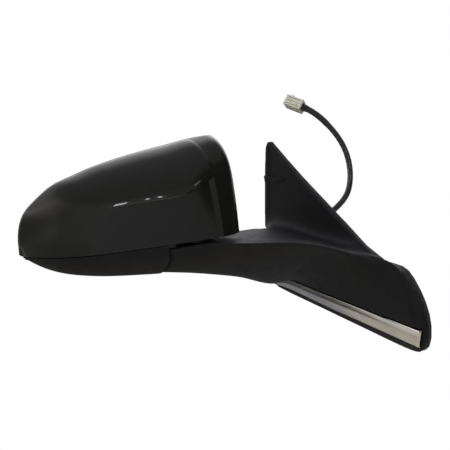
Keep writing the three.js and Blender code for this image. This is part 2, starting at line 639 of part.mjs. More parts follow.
// ---------------------------------------------------------------- fold pivot
function swivelBracket() {
  const [left, right] = [pivotOut - 24, pivotOut + 20];
  const rear = 33.8;
  const plate = prismZ([
    [left, rear], [right, rear], [right, pivotFwd + 6], [pivotOut + 12, pivotFwd + 14],
    [pivotOut - 12, pivotFwd + 14], [left, pivotFwd + 4],
  ], 41.1, 45);
  const wall = prismY([
    [left, 41.1], [right, 41.1], [right, 88], [pivotOut + 4, 98], [pivotOut - 6, 98], [left, 88],
  ], rear, 37.2);
  const web = prismX([[37, 44], [37, 78], [50, 44]], 0, 3);
  return cut(
    add(plate, wall, web.translate([left, 0, 0]), web.translate([right - 3, 0, 0])),
    rodZ(POST_R + 0.4, 39, 8, HEAD_PIVOT, 32),
    ...rodsY(SWIVEL_SCREWS, 2.1, 32, 6, 12),
  );
}
addHeadPart('swivel_bracket', 'cast', swivelBracket());

// four copies of a block on the diagonals about a vertical axis, turned further by `turn` degrees
const fourAround = (block, turn, [x, y]) => [0, 1, 2, 3].map((k) =>
  block.rotate([0, 0, 45 + 90 * k + turn]).translate([x, y, 0]));

const notch = box([8, 18], [-1.9, 1.9], [37.2, 38.7]);
addHeadPart('detent_ring_upper', 'steel', cut(
  collar(9.2, 17, 37.5, 40.8, HEAD_PIVOT, 32),
  ...fourAround(notch, 0, HEAD_PIVOT),
));
const tooth = box([8.9, 16.6], [-1.4, 1.4], [35.5, 37.2]);
addPart('detent_ring_lower', 'steel', add(
  collar(8.5, 17, 33.2, 36.2, PIVOT, 32),
  ...fourAround(tooth, -HEAD_SWEEP_DEG, PIVOT),
));

// hollow post with a lip at the top
addPart('pivot_post', 'zinc', add(
  collar(4.6, POST_R, 18.3, 64, PIVOT, 28),
  collar(4.6, 9, 64, 66, PIVOT, 28),
));
addPart('spring_cap', 'steel', collar(POST_R + 0.25, 11.4, 61.4, 63.7, PIVOT, 28));

const SPRING = { turns: 4.5, radius: 10, wire: 1.1, bottom: 46.6, top: 59.9 };
class Helix extends THREE.Curve {
  getPoint(t, target = vec(0, 0, 0)) {
    const angle = 2 * Math.PI * SPRING.turns * t;
    return target.set(
      pivotOut + SPRING.radius * Math.cos(angle),
      pivotFwd + SPRING.radius * Math.sin(angle),
      lerp(SPRING.bottom, SPRING.top, t),
    );
  }
}
addHeadPart('fold_spring', 'steel', sweep(new Helix(), SPRING.wire, 72, 6));

SWIVEL_SCREWS.forEach(([out, up], k) => {
  const head = frustum(3.6, 3.2, 2.4, [out, 37.5, up], 'y', 12);
  addHeadPart(`swivel_screw_${k + 1}`, 'zinc', add(head, rodY(1.5, 30, 8, [out, up], 12)));
});

// ---------------------------------------------------------------- glass actuator
// outline of the cover and the case (outboard, height)
const ACTUATOR_FACE = [
  [76, 38], [146, 38], [150, 42], [150, 71], [127, 85], [119, 87], [75, 87], [72.4, 84.4],
  [72.4, 41.6],
];

function actuatorCover() {
  const { out, fwd, up } = GIMBAL;
  const ears = [-1, 1].flatMap((side) => {
    const start = out + side * EAR_REACH - EAR_T / 2;
    return [
      box([start, start + EAR_T], [fwd, 30.4], [up - EAR_R, up + EAR_R]),
      rodX(EAR_R, start, EAR_T, [fwd, up], 16),
    ];
  });
  return cut(
    add(prismY(ACTUATOR_FACE, 30, 32.6), ...ears),
    rodX(GIMBAL_HOLE_R, out - 40, 80, [fwd, up], 20),
    ...rodsY([TILT_PLUNGER, PAN_PLUNGER], 2.7, 28, 8, 16),
    ...rodsY(ACTUATOR_SCREWS, 1.7, 28, 8, 12),
  );
}
addHeadPart('actuator_cover', 'grey', actuatorCover());

function actuatorCase() {
  const hollow = cut(prismY(ACTUATOR_FACE, 32.9, 50), prismY(inset(ACTUATOR_FACE, 2), 32, 48));
  return cut(
    add(hollow, ...rodsY(ACTUATOR_SCREWS, 3.4, 32.9, 15.9, 12)),
    ...rodsY(ACTUATOR_SCREWS, 1.35, 31, 14, 12),
    rodY(3.2, 45, 8, [84, 57], 16), // harness hole
  );
}
addHeadPart('actuator_case', 'grey', actuatorCase());

ACTUATOR_SCREWS.forEach(([out, up], k) => {
  const head = frustum(2.6, 3, 1.6, [out, 28.2, up], 'y', 12);
  addHeadPart(`actuator_screw_${k + 1}`, 'zinc', add(head, rodY(1.2, 29.6, 12, [out, up], 12)));
});

// motor with its shaft towards the inboard side
function motor(out, up) {
  const axis = [40.6, up];
  return add(rodX(6.6, out, 20, axis, 20), rodX(1.1, out - 5.9, 6, axis, 12));
}
addHeadPart('tilt_motor', 'steel', motor(127.5, 59));
addHeadPart('pan_motor', 'steel', motor(100.5, 77.6));

// lead-screw wheels, coaxial with their plungers
function wheel([out, up]) {
  const teeth = 16;
  const outline = [];
  for (let k = 0; k < teeth * 2; k++) {
    const angle = (k * Math.PI) / teeth;
    const radius = k % 2 ? 8.6 : 7.6;
    outline.push([out + radius * Math.cos(angle), up + radius * Math.sin(angle)]);
  }
  return cut(prismY(outline, 36, 41), rodY(2.5, 34, 9, [out, up], 16));
}
addHeadPart('tilt_wheel', 'white', wheel(TILT_PLUNGER));
addHeadPart('pan_wheel', 'white', wheel(PAN_PLUNGER));

// rod with a double-coned head at its rear end
function plunger([out, up]) {
  return add(
    rodY(2.2, 10, 33.2, [out, up], 16),
    frustum(2.4, 3.6, 1.2, [out, 8.9, up], 'y', 16),
    frustum(3.6, 2.2, 1.6, [out, 10.05, up], 'y', 16),
  );
}
addHeadPart('tilt_plunger', 'white', plunger(TILT_PLUNGER));
addHeadPart('pan_plunger', 'white', plunger(PAN_PLUNGER));

// cross ring between the actuator's ears and the holder's ears
function gimbalRing() {
  const { out, fwd, up } = GIMBAL;
  const pinStart = 14;
  const pinEnd = EAR_REACH + 2;
  const ring = collar(11.4, 14.6, -3, 3, [0, 0], 32).rotate([90, 0, 0]).translate([out, fwd, up]);
  const pins = [pinStart, -pinEnd].flatMap((start) => [
    rodX(GIMBAL_PIN_R, out + start, pinEnd - pinStart, [fwd, up], 20),
    rodZ(GIMBAL_PIN_R, up + start, pinEnd - pinStart, [out, fwd], 20),
  ]);
  return add(ring, ...pins);
}
addHeadPart('gimbal_ring', 'white', gimbalRing());

// ---------------------------------------------------------------- mirror glass
addHeadPart('mirror_glass', 'mirror', prismY(GLASS, GLASS_REAR, GLASS_REAR + GLASS_T));
addHeadPart('heater_pad', 'foil', prismY(inset(GLASS, 3), GLASS_REAR + 2.3, GLASS_REAR + 2.9));

function glassHolder() {
  const { out, fwd, up } = GIMBAL;
  const front = GLASS_REAR + 5.4;
  const plate = prismY(inset(GLASS, 1.7), front - 2.2, front);
  const ears = [-1, 1].flatMap((side) => {
    const start = up + side * EAR_REACH - EAR_T / 2;
    return [
      box([out - EAR_R, out + EAR_R], [front - 0.4, fwd], [start, start + EAR_T]),
      rodZ(EAR_R, start, EAR_T, [out, fwd], 16),
    ];
  });
  const sockets = [TILT_PLUNGER, PAN_PLUNGER].map((place) =>
    cut(rodY(7.6, front - 0.4, 2.4, place, 20), rodY(5.8, front, 6, place, 20)));
  return cut(add(plate, ...ears, ...sockets), rodZ(GIMBAL_HOLE_R, up - 30, 60, [out, fwd], 20));
}
addHeadPart('glass_holder', 'black', glassHolder());

// wiring from the post to the actuator
const headCable = [[pivotOut, pivotFwd, 68.5], [pivotOut + 5, pivotFwd + 0.5, 76], ...HEAD_CABLE];
addHeadPart('head_harness', 'rubber', tube(headCable, 2.2, 20, 8));

// ---------------------------------------------------------------- base cover: sail, foot and arm
function armRing([crease, rearTop, rearLow, edge], i) {
  const arm = i <= 5 ? 1 : i === 6 ? 0.5 : 0; // fades out where the arm runs into the foot
  const between = (a, b, t, shift) => mix(a, b, t).map((value, k) => value + shift[k]);
  return [
    rearTop,
    between(rearTop, crease, 0.33, [0, 0, 1.3]),
    between(rearTop, crease, 0.66, [0, 0, 1.6]),
    crease,
    between(crease, edge, 0.3, [0, -3.2 * arm - 0.8, -1.6 * arm]),
    between(crease, edge, 0.65, [-1.5 * (1 - arm), -3.8 * arm, -2.6 * arm - 0.5]),
    edge,
    between(edge, rearLow, 0.5, [0, 0, -1.5]),
    rearLow,
    between(rearLow, rearTop, 0.5, [0, arm * 1.2, 0]),
  ];
}
// ring moved in by the distance, within its mean plane
function insetRing(points, distance) {
  const ring = points.map((p) => vec(...p));
  const count = ring.length;
  const normal = vec(0, 0, 0);
  ring.forEach((p, k) => normal.add(p.clone().cross(ring[(k + 1) % count])));
  normal.normalize();
  const sideNormal = (a, b) => normal.clone().cross(b.clone().sub(a).normalize()).normalize();
  return ring.map((p, k) => {
    const before = sideNormal(ring[(k + count - 1) % count], p);
    const after = sideNormal(p, ring[(k + 1) % count]);
    const bisector = before.clone().add(after).normalize();
    const reach = distance / Math.max(0.4, bisector.dot(before));
    return p.clone().addScaledVector(bisector, reach).toArray();
  });
}

function baseCover() {
  const doorSide = -4.3;
  const aboveTrim = [...TRIM_TOP.slice().reverse(), [73, -33], [76.2, -20], ...FLANGE.slice(1, 20)];
  const belowTrim = [
    ...TRIM_TOP, [-220, -52], [-220, -120], [120, -120], [120, -40], [75.5, -33],
  ];
  const rings = ARM_STATIONS.map(armRing);
  // the arm ends in the seam cone
  const armZone = (grow) => add(seamCone(grow), box([PIVOT[0], 20], [-260, 160], [-120, 200]));
  const arm = cut(
    loft(rings).intersect(armZone(0)),
    prismX(belowTrim, -60, -9),
    box([doorSide, 60], [-300, 200], [-150, 150]),
  );
  const armCavity = cut(
    loft(rings.map((ring) => insetRing(ring, 3.2))).intersect(armZone(-3)),
    prismX(inset(belowTrim, -2.6), -60, -9)
      .intersect(box([-60, -6.4], [-300, 200], [-150, 150])),
  );
  const flangeInset = inset(FLANGE, 7.5);
  const pocket = prismX(flangeInset, -10.4, 1)
    .intersect(add(prismX(inset(aboveTrim, 2.6), -12, 2), prismX(flangeInset, -7, 1)));
  const skin = cut(
    add(prismX(aboveTrim, -13, doorSide), prismX(FLANGE, -9, doorSide), arm),
    armCavity,
    pocket,
    prismX(inset(aboveTrim, 3.2), -10.4, -8.8),
  );
  const clipBoss = cut(rodX(5.5, -11, 5, SAIL_CLIP, 16), rodX(2.6, -10.6, 8, SAIL_CLIP, 12));
  const screwBosses = COVER_SCREWS.map((place) =>
    cut(rodX(4.6, -12, 8, place, 16), rodX(1.95, -12.5, 9, place, 12)));
  return cut(
    add(skin, clipBoss, ...screwBosses),
    rodZ(19.2, 12, 40, PIVOT, 36),
    box([-14, -11.9], [-20, 78], [84, 85.6]), // groove across the sail's outboard face
  );
}
addPart('base_cover', 'matte', baseCover());

// ---------------------------------------------------------------- trim, seals
const TRIM_GAP = 0.45;
const lowered = (line) => line.map(([y, z]) => [y, z - TRIM_GAP]);
const trimOutline = [...lowered(TRIM_TOP), ...TRIM_LOW];
addPart('belt_trim', 'chrome', cut(
  prismX(trimOutline, -14, -9.3),
  prismX(inset(trimOutline, 1.6), -12.4, -8),
));
const sealOutline = [...lowered(TRIM_LOW).reverse(), ...TRIM_SEAL_LOW];
addPart('belt_trim_seal', 'rubber', prismX(sealOutline, -12.2, -9.3));
addPart('base_gasket', 'rubber', prismX(GASKET, -4, 1, [inset(FLANGE, 6.9)]));

// ---------------------------------------------------------------- die-cast bracket, its fixings
function baseBracket() {
  const studPlaces = Object.values(STUDS);
  const plate = prismX(PLATE_OUTLINE, -3.7, -0.4);
  const pads = BRACKET_PADS.map((outline) => prismX(outline, -1, 0));
  const beamPocket = inset(BEAM_PLAN, 4);
  const beam = cut(
    prismZ(BEAM_PLAN, 9, 21),
    box([-26, -3.6], [-30, 12], [17.5, 22]),
    prismZ(beamPocket, 8, 13.4),
    prismZ(beamPocket, 16.6, 22),
  );
  const pivotBoss = rodZ(17.5, 8.5, 24.5, PIVOT, 32);
  return cut(
    add(plate, ...pads, beam, pivotBoss, ...rodsX(studPlaces, 7, -7.2, 3.6, 20)),
    rodZ(POST_R + 0.2, 18, 20, PIVOT, 28),
    rodZ(5, 5, 20, PIVOT, 20),
    ...rodsX(studPlaces, STUD_R + 0.15, -11, 14, 20),
    ...rodsX(COVER_SCREWS, 2.1, -5, 8, 12),
    ...rodsX(COVER_SCREWS, 4.4, -2.4, 3, 16),
    rodX(2.6, -5, 8, LOCATING_PIN, 16),
    rodX(8.1, -6, 8, GROMMET, 24),
  );
}
addPart('base_bracket', 'cast', baseBracket());

for (const [name, place] of Object.entries(STUDS)) {
  const shank = rodX(STUD_R, -7.7, STUD_LEN + 7.7, place, 20);
  addPart(name, 'zinc', add(rodX(6, -9.8, 2.2, place, 6), shank));
}
addPart('locating_pin', 'steel', add(
  rodX(2.5, -3.5, 9.5, LOCATING_PIN, 16),
  frustum(2.5, 1.4, 1.6, [6, ...LOCATING_PIN], 'x', 16),
));
COVER_SCREWS.forEach((place, k) => {
  const head = frustum(1.6, 4.1, 1.8, [-2.1, ...place], 'x', 16);
  addPart(`cover_screw_${k + 1}`, 'zinc', add(rodX(1.6, -11, 9, place, 12), head));
});
addPart('sail_clip', 'natural', add(
  rodX(2.4, -7.5, 16, SAIL_CLIP, 12),
  rodX(6, -5.6, 1.4, SAIL_CLIP, 16),
  frustum(4.4, 2.4, 3, [5, ...SAIL_CLIP], 'x', 12),
));

// ---------------------------------------------------------------- door harness and its plug
addPart('harness_door', 'rubber', tube(DOOR_CABLE, CABLE_R, 34, 10));
addPart('harness_grommet', 'rubber', cut(
  add(rodX(7.8, -4.6, 4.4, GROMMET, 24), rodX(10, 0.3, 1.6, GROMMET, 24)),
  tube([[-14, -7.6, 43.6], ...DOOR_CABLE.slice(0, 4)], CABLE_R + 0.35, 12, 12),
));

// plug frame: x from cable to mating face, y across, z thickness
const plugOrigin = vec(27, 58.2, 162.8);
const plugX = vec(-0.36, 0.885, 0.3).normalize();
const upHint = vec(0.5, 0, 0.87);
const plugZ = upHint.clone().sub(plugX.clone().multiplyScalar(upHint.dot(plugX))).normalize();
const plugY = plugZ.clone().cross(plugX);
const plugMatrix = new THREE.Matrix4().makeBasis(plugX, plugY, plugZ).setPosition(plugOrigin);
const addPlugPart = (name, style, body) =>
  addPart(name, style, body.transform(plugMatrix.elements));

function connectorHousing() {
  const sleeve = cut(
    box([0, 21], [-8, 8], [-6, 6]),
    box([9, 24], [-6.3, 6.3], [-4.4, 4.4]),
    box([-2, 6], [-4.4, 4.4], [-3.9, 3.9]),
  );
  const ribs = [-4.5, 0, 4.5].map((y) => box([3, 20.4], [y - 0.8, y + 0.8], [-6.8, -5.9]));
  const lugs = [[-4.6, -3.2], [3.2, 4.6]].map((span) => box([2, 3.4], span, [5.8, 7.6]));
  const cableHole = tube([[-6, 0, 0], [-2, 0, 0], [3, 0, 0]], CABLE_R + 0.5, 4, 12);
  return cut(add(sleeve, ...ribs, ...lugs), cableHole);
}
addPlugPart('connector_housing', 'natural', connectorHousing());

// two rows of four square sockets
function connectorInsert() {
  const half = 0.75;
  const sockets = [-3.9, -1.3, 1.3, 3.9].flatMap((y) => [-1.9, 1.9].map((z) =>
    box([12, 18], [y - half, y + half], [z - half, z + half])));
  return cut(box([9.3, 17], [-6, 6], [-4.1, 4.1]), ...sockets);
}
addPlugPart('connector_insert', 'grey', connectorInsert());
addPlugPart('connector_latch', 'natural', add(
  box([1.8, 17.5], [-2.4, 2.4], [6.5, 7.7]),
  box([15.5, 17.5], [-2.4, 2.4], [7.6, 8.8]),
));
// latch hinge line
root.userData.latch = {
  at: plugOrigin.clone().addScaledVector(plugX, 1.8).addScaledVector(plugZ, 7).toArray(),
  axis: plugY.clone().negate().toArray(),
};

export default root;
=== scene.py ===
"""Car side mirror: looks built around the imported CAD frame. Millimetres in the tables, metres in Blender."""

import json
import math

import bmesh
import bpy
import numpy as np
from mathutils.kdtree import KDTree
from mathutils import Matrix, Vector

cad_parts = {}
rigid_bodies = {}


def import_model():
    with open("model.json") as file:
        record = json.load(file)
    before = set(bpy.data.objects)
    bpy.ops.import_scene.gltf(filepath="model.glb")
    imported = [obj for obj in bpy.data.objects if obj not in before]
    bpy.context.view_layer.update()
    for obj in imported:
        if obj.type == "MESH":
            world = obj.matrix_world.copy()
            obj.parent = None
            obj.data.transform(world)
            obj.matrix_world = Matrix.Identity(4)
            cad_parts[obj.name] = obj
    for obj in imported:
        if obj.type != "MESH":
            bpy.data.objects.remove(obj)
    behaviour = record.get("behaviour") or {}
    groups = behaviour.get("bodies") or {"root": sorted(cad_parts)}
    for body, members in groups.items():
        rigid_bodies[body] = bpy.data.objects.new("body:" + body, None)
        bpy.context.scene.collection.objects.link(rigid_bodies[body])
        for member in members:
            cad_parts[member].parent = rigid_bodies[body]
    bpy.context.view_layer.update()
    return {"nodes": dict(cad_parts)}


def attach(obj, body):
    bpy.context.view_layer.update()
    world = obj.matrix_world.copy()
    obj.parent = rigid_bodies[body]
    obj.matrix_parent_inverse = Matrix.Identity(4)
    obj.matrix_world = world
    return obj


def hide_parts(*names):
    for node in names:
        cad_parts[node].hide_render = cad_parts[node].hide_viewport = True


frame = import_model()

# ------------------------------------------------------------------ tables, the same as the CAD source
SWEEP = math.radians(12)
HEAD_ORIGIN = np.array([-90.0, 69.0, 0.0])
PIVOT = (-149.0, 25.0)
SEAM_GAP = 0.9
WALL = 2.5
CAP_WALL = 2.4
RIM_D = 2.0
FOLD_REAR = 58.0
GLASS_D = 2.5
CENTRE = (118.0, 72.0)

RIBS = [
    [[1.5, 40.2], [1.5, 2, 40.2], [1.5, 2]],
    [[-0.2, 62], [0.6, 12, 51], [1, 14]],
    [[-0.4, 88], [0, 25, 66], [0.9, 28]],
    [[-0.2, 113], [0.3, 36, 84], [1, 44]],
    [[0.8, 129.4], [1.8, 42.5, 102.5], [1.9, 57]],
    [[5.8, 136.6], [5.4, 44.2, 110.5], [5, 68]],
    [[20, 136], [16, 50, 105], [17, 76]],
    [[38, 133.2], [31, 56, 98.2], [30, 80.3]],
    [[60, 128.5], [48, 63.5, 90.6], [48, 82]],
    [[88, 122.9], [70, 67.8, 83.6], [72, 81.6]],
    [[115, 116.6], [95, 66.8, 80.4], [99, 77.3]],
    [[143.5, 108.6], [122, 62.5, 77.5], [130, 72]],
    [[164, 101], [149, 56, 72.2], [161, 65]],
    [[187.4, 91.6], [172, 47, 66.5], [180, 56.5]],
    [[206.8, 76.4], [192, 34.5, 59], [197, 44]],
    [[217.8, 64.7], [207, 21, 50.5], [209, 30]],
    [[223, 52.5], [217.5, 11, 40.5], [217, 18]],
    [[224.8, 38], [222.8, 5.5, 30], [221.8, 8.5]],
    [[223.7, 20.8], [223.7, 2, 20.8], [223.7, 2]],
]
BELLY = [
    [[72, 81.5], [74, 25], [46, -1.5]],
    [[92, 78.5], [89, 13.5], [46, -0.8]],
    [[110, 75.5], [106, 7], [46, -0.4]],
    [[130, 72], [125, 3.8], [45, 0.0]],
    [[150, 67.7], [145, 3.4], [43, 0.7]],
    [[168, 62], [164, 4.6], [39, 2.0]],
    [[184, 54], [182, 7], [33, 4.0]],
    [[197, 44], [197, 10.5], [26, 7.2]],
    [[209, 30], [209, 14.8], [16, 12]],
    [[217.5, 16.5], [217, 18], [8, 16.8]],
    [[222.4, 6], [222, 20], [4, 19.4]],
]
RIM_BOTTOM = [[223.7, 20.8], [217, 17.6], [209, 14.4], [197, 10], [182, 6.4], [164, 4], [145, 2.9], [125, 3.3], [106, 6.4], [93, 11], [84.5, 19], [79.6, 29], [76.5, 35.2], [72, 36.4], [4, 36.4], [2, 37.4]]
GLASS = [[13.5, 58], [13, 80], [13.4, 108], [17, 117.5], [25, 121.4], [40, 120.6], [74, 114], [109, 106], [142.7, 96.8], [160.8, 89.6], [178.9, 79.4], [192.5, 67], [200.6, 56], [204.7, 46], [205.3, 38], [202.9, 29.5], [197.0, 24], [188.9, 19.6], [176.2, 16.4], [161.7, 14], [144.5, 13], [125, 13.6], [115, 16.6], [105, 23.4], [97, 32.4], [90, 41.4], [82, 46.6], [73, 48.2], [22, 48.2], [16, 51]]
FLANGE = [[75, -30], [76, 0], [76, 26], [76.4, 85], [75.9, 112], [75.6, 123.6], [73.8, 125.2], [63, 117.8], [25, 92], [-31, 57.8], [-47, 48.2], [-78, 28.6], [-106, 14.4], [-116, 12], [-129, 10.8], [-138, 7.4], [-146, 0.2], [-155, -10.2], [-162.5, -21.5], [-168, -33], [-171, -45], [-171.4, -57.5], [-168.8, -67], [-163, -72.2], [-156, -73], [-94.7, -64.2], [-72.3, -60.8], [-14.9, -52], [34.5, -44.6], [62, -39.4], [72, -35.6]]
GASKET = [[74, -29.7], [75, 0], [75, 26], [75.2, 85], [74.2, 108], [72.6, 115.2], [70.6, 116.3], [65.4, 113.4], [27.3, 88.5], [-28.8, 54.2], [-44.8, 44.6], [-75.9, 24.9], [-105.2, 12.3], [-116, 11.7], [-128.9, 10.5], [-137.8, 7.1], [-145.8, 0], [-154.8, -10.4], [-162.2, -21.6], [-167.7, -33.1], [-170.7, -45], [-171.1, -57.5], [-168.5, -66.8], [-162.9, -71.9], [-156, -72.7], [-94.8, -63.2], [-72.5, -59.8], [-15, -51], [34.3, -43.6], [61.7, -38.4], [71.3, -34.8]]
TRIM_TOP = [[60.5, -33.6], [50, -29.4], [38.6, -26.4], [12.5, -28.6], [-15, -31.8], [-45.7, -35], [-82, -38.6], [-111.5, -41.9], [-168.4, -47.8]]
TRIM_LOW = [[-165.4, -65.6], [-82.4, -54.3], [-46, -49.6], [-4.7, -44.1], [23.9, -40.1], [54, -36.4]]
ARM = [
    [[-205, 12, 27], [-200, 66, 27], [-200, 66, 8], [-203, 30, 4]],
    [[-165, -5.7, 32.3], [-165, 68, 28], [-165, 66, 5], [-165, 17, 0.8]],
    [[-146, -16.4, 33.6], [-146, 68.6, 28], [-146, 66.5, 3], [-144, 11.5, -2]],
    [[-126, -25.8, 33.6], [-120, 67, 27.5], [-120, 65, 0], [-121, 8, -6]],
    [[-102, -38.5, 33], [-90, 64, 27.8], [-90, 62, -5], [-96, 6.3, -11.5]],
    [[-80, -49.3, 32.3], [-58, 63.5, 28.8], [-58, 61.5, -14], [-66, 12, -21]],
    [[-56, -69, 29], [-26, 67, 29.2], [-24, 65, -26], [-34, 24, -27]],
    [[-48, -79, 26.5], [-8, 72, 29], [-8, 68, -33], [-14, 38, -29]],
    [[-40, -89.7, 23.4], [-7, 50, 27], [-8, 30, -42], [-14, 8, -31]],
    [[-30, -106, 20.3], [-7, 5, 22.4], [-8, -14, -46], [-14, -34, -35]],
    [[-25, -115.5, 18.7], [-7, -44, 20], [-8, -56, -52], [-14, -66, -39]],
    [[-18.5, -130, 16], [-7, -95, 15], [-8, -110, -58], [-14, -118, -44]],
    [[-13.6, -138, 9.6], [-7, -130, 8.5], [-8, -156, -60], [-14, -162, -48]],
]
CABLE = [[-7, -8, 44.5], [-2, -8.6, 46], [3, -10.5, 49], [9, -15, 55], [22, -19, 68.5], [30, -17.5, 83.6], [36, -10.8, 98.9], [38, -3, 114.3], [38, 9, 129.6], [36, 25.2, 144], [32, 39.3, 154.6], [28.5, 51, 160.6], [27, 57.5, 162.6]]
CABLE_R = 3.3


def seam_z(s):
    return 40.3 - 0.058 * s - 0.000134 * s * s


def lerp(a, b, t):
    return a + (b - a) * t


def to_row(P):
    P = np.asarray(P, float)
    s, d, z = P[..., 0], P[..., 1], P[..., 2]
    c, n = math.cos(SWEEP), math.sin(SWEEP)
    return np.stack([HEAD_ORIGIN[0] - c * s - n * d, HEAD_ORIGIN[1] + n * s - c * d, z], -1)


def to_head(P):
    P = np.asarray(P, float)
    x, y, z = P[..., 0] - HEAD_ORIGIN[0], P[..., 1] - HEAD_ORIGIN[1], P[..., 2]
    c, n = math.cos(SWEEP), math.sin(SWEEP)
    return np.stack([-c * x + n * y, -n * x - c * y, z], -1)


# ------------------------------------------------------------------ curve helpers
def cubic(knots, values, at):
    """Natural cubic spline through values at knots, sampled at the points of at."""
    x = np.asarray(knots, float)
    y = np.asarray(values, float)
    flat = y.reshape(len(x), -1)
    n = len(x)
    h = np.diff(x)
    A = np.zeros((n, n))
    b = np.zeros((n, flat.shape[1]))
    A[0, 0] = A[-1, -1] = 1
    for i in range(1, n - 1):
        A[i, i - 1], A[i, i], A[i, i + 1] = h[i - 1], 2 * (h[i - 1] + h[i]), h[i]
        b[i] = 6 * ((flat[i + 1] - flat[i]) / h[i] - (flat[i] - flat[i - 1]) / h[i - 1])
    m = np.linalg.solve(A, b)
    at = np.asarray(at, float)
    i = np.clip(np.searchsorted(x, at, side="right") - 1, 0, n - 2)
    t = (at - x[i])[:, None]
    hi = h[i][:, None]
    r = (
        flat[i]
        + t * ((flat[i + 1] - flat[i]) / hi - hi * (2 * m[i] + m[i + 1]) / 6)
        + t * t * m[i] / 2
        + t * t * t * (m[i + 1] - m[i]) / (6 * hi)
    )
    return r.reshape((len(at),) + y.shape[1:])


def chords(*rails):
    """Common knot values for several rails: the mean of their root chord lengths."""
    total = 0
    for r in rails:
        r = np.asarray(r, float)
        total = total + np.sqrt(np.linalg.norm(np.diff(r, axis=0), axis=1))
    return np.concatenate([[0], np.cumsum(total)]) / total.sum()


def closed_smooth(pts, n, radius=3.0, keep=()):
    """Closed outline with its corners rounded: resampled evenly to n points and averaged over about the radius."""
    p = np.asarray(pts, float)
    q = np.vstack([p, p[:1]])
    seg = np.linalg.norm(np.diff(q, axis=0), axis=1)
    at = np.concatenate([[0], np.cumsum(seg)])
    total = at[-1]
    m = max(n, 800)
    t = np.linspace(0, total, m, endpoint=False)
    r = np.stack([np.interp(t, at, q[:, k]) for k in range(p.shape[1])], 1)
    w = max(1, int(round(radius / (total / m))))
    k = np.hanning(2 * w + 3)[1:-1]
    k /= k.sum()
    out = np.stack([np.convolve(np.concatenate([c[-w:], c, c[:w]]), k, "valid") for c in r.T], 1)
    return resample(out, n, True)


def resample(p, n, closed):
    q = np.vstack([p, p[:1]]) if closed else np.asarray(p, float)
    seg = np.linalg.norm(np.diff(q, axis=0), axis=1)
    at = np.concatenate([[0], np.cumsum(seg)])
    t = np.linspace(0, at[-1], n, endpoint=not closed)
    return np.stack([np.interp(t, at, q[:, k]) for k in range(q.shape[1])], 1)


def offset2(p, t):
    """Closed 2-D outline moved inwards by t along its normals."""
    a = np.roll(p, 1, 0)
    b = np.roll(p, -1, 0)
    e = b - a
    e /= np.maximum(1e-9, np.linalg.norm(e, axis=1))[:, None]
    n = np.stack([-e[:, 1], e[:, 0]], 1)
    area = (p[:, 0] * b[:, 1] - b[:, 0] * p[:, 1]).sum()
    return p + n * (t if area > 0 else -t)


def inset_poly(pts, t):
    """Inward offset of a simple polygon with exact corners; an edge that turns over is dropped."""
    p = np.asarray(pts, float)
    n0 = len(p)
    area = sum(p[i][0] * p[(i + 1) % n0][1] - p[i][1] * p[(i + 1) % n0][0] for i in range(n0))
    sg = 1 if area > 0 else -1
    edges = []
    for i in range(n0):
        a, b = p[i], p[(i + 1) % n0]
        e = (b - a) / np.linalg.norm(b - a)
        nrm = np.array([-e[1], e[0]]) * sg * t
        edges.append((e, a + nrm, b + nrm))
    while True:
        n = len(edges)
        at = []
        for i in range(n):
            c, a = edges[i], edges[i - 1]
            d = a[0][0] * c[0][1] - a[0][1] * c[0][0]
            if abs(d) < 0.03:
                at.append((a[2] + c[1]) / 2)
            else:
                k = ((c[1][0] - a[1][0]) * c[0][1] - (c[1][1] - a[1][1]) * c[0][0]) / d
                at.append(a[1] + a[0] * k)
        bad = [i for i in range(n) if np.dot(at[(i + 1) % n] - at[i], edges[i][0]) < 1e-3]
        if not bad:
            return np.array(at)
        edges.pop(bad[0])


# ------------------------------------------------------------------ mesh helpers
def tidy(bm, angle):
    bmesh.ops.recalc_face_normals(bm, faces=bm.faces[:])
    lim = math.radians(angle)
    for f in bm.faces:
        f.smooth = True
    for e in bm.edges:
        e.smooth = e.calc_face_angle(0) < lim


def build(name, verts, faces, angle=32, bevel=0.0, bevel_angle=40, segments=3, weld=0.002, local=False):
    """A mesh object from millimetre data."""
    V = to_row(verts) if local else np.asarray(verts, float)
    me = bpy.data.meshes.new(name)
    me.from_pydata((V / 1000).tolist(), [], [list(map(int, f)) for f in faces])
    ob = bpy.data.objects.new(name, me)
    bpy.context.scene.collection.objects.link(ob)
    bm = bmesh.new()
    bm.from_mesh(me)
    if weld:
        bmesh.ops.remove_doubles(bm, verts=bm.verts[:], dist=weld / 1000)
        bmesh.ops.dissolve_degenerate(bm, edges=bm.edges[:], dist=weld / 2000)
    if bevel:
        bmesh.ops.recalc_face_normals(bm, faces=bm.faces[:])
        lim = math.radians(bevel_angle)
        edges = [e for e in bm.edges if len(e.link_faces) == 2 and e.calc_face_angle(0) > lim]
        bmesh.ops.bevel(bm, geom=edges, offset=bevel / 1000, segments=segments, profile=0.5, affect="EDGES", clamp_overlap=True)
    tidy(bm, angle)
    bm.to_mesh(me)
    bm.free()
    return ob


def grid_faces(n, m, close_u=False, close_v=False, base=0, flip=False):
    out = []
    for i in range(n if close_u else n - 1):
        for j in range(m if close_v else m - 1):
            a, b = i * m + j, ((i + 1) % n) * m + j
            c, d = ((i + 1) % n) * m + (j + 1) % m, i * m + (j + 1) % m
            q = [a, b, c, d]
            out.append([base + k for k in (q[::-1] if flip else q)])
    return out


def loft(name, rings, caps=True, **kw):
    """Skin over a stack of equal closed rings, with fan caps."""
    R = np.asarray(rings, float)
    n, m = R.shape[:2]
    V = R.reshape(-1, 3)
    F = grid_faces(n, m, close_v=True)
    if caps:
        V = np.vstack([V, R[0].mean(0)[None], R[-1].mean(0)[None]])
        for j in range(m):
            F.append([j, (j + 1) % m, n * m][::-1])
            F.append([(n - 1) * m + j, (n - 1) * m + (j + 1) % m, n * m + 1])
    return build(name, V, F, **kw)


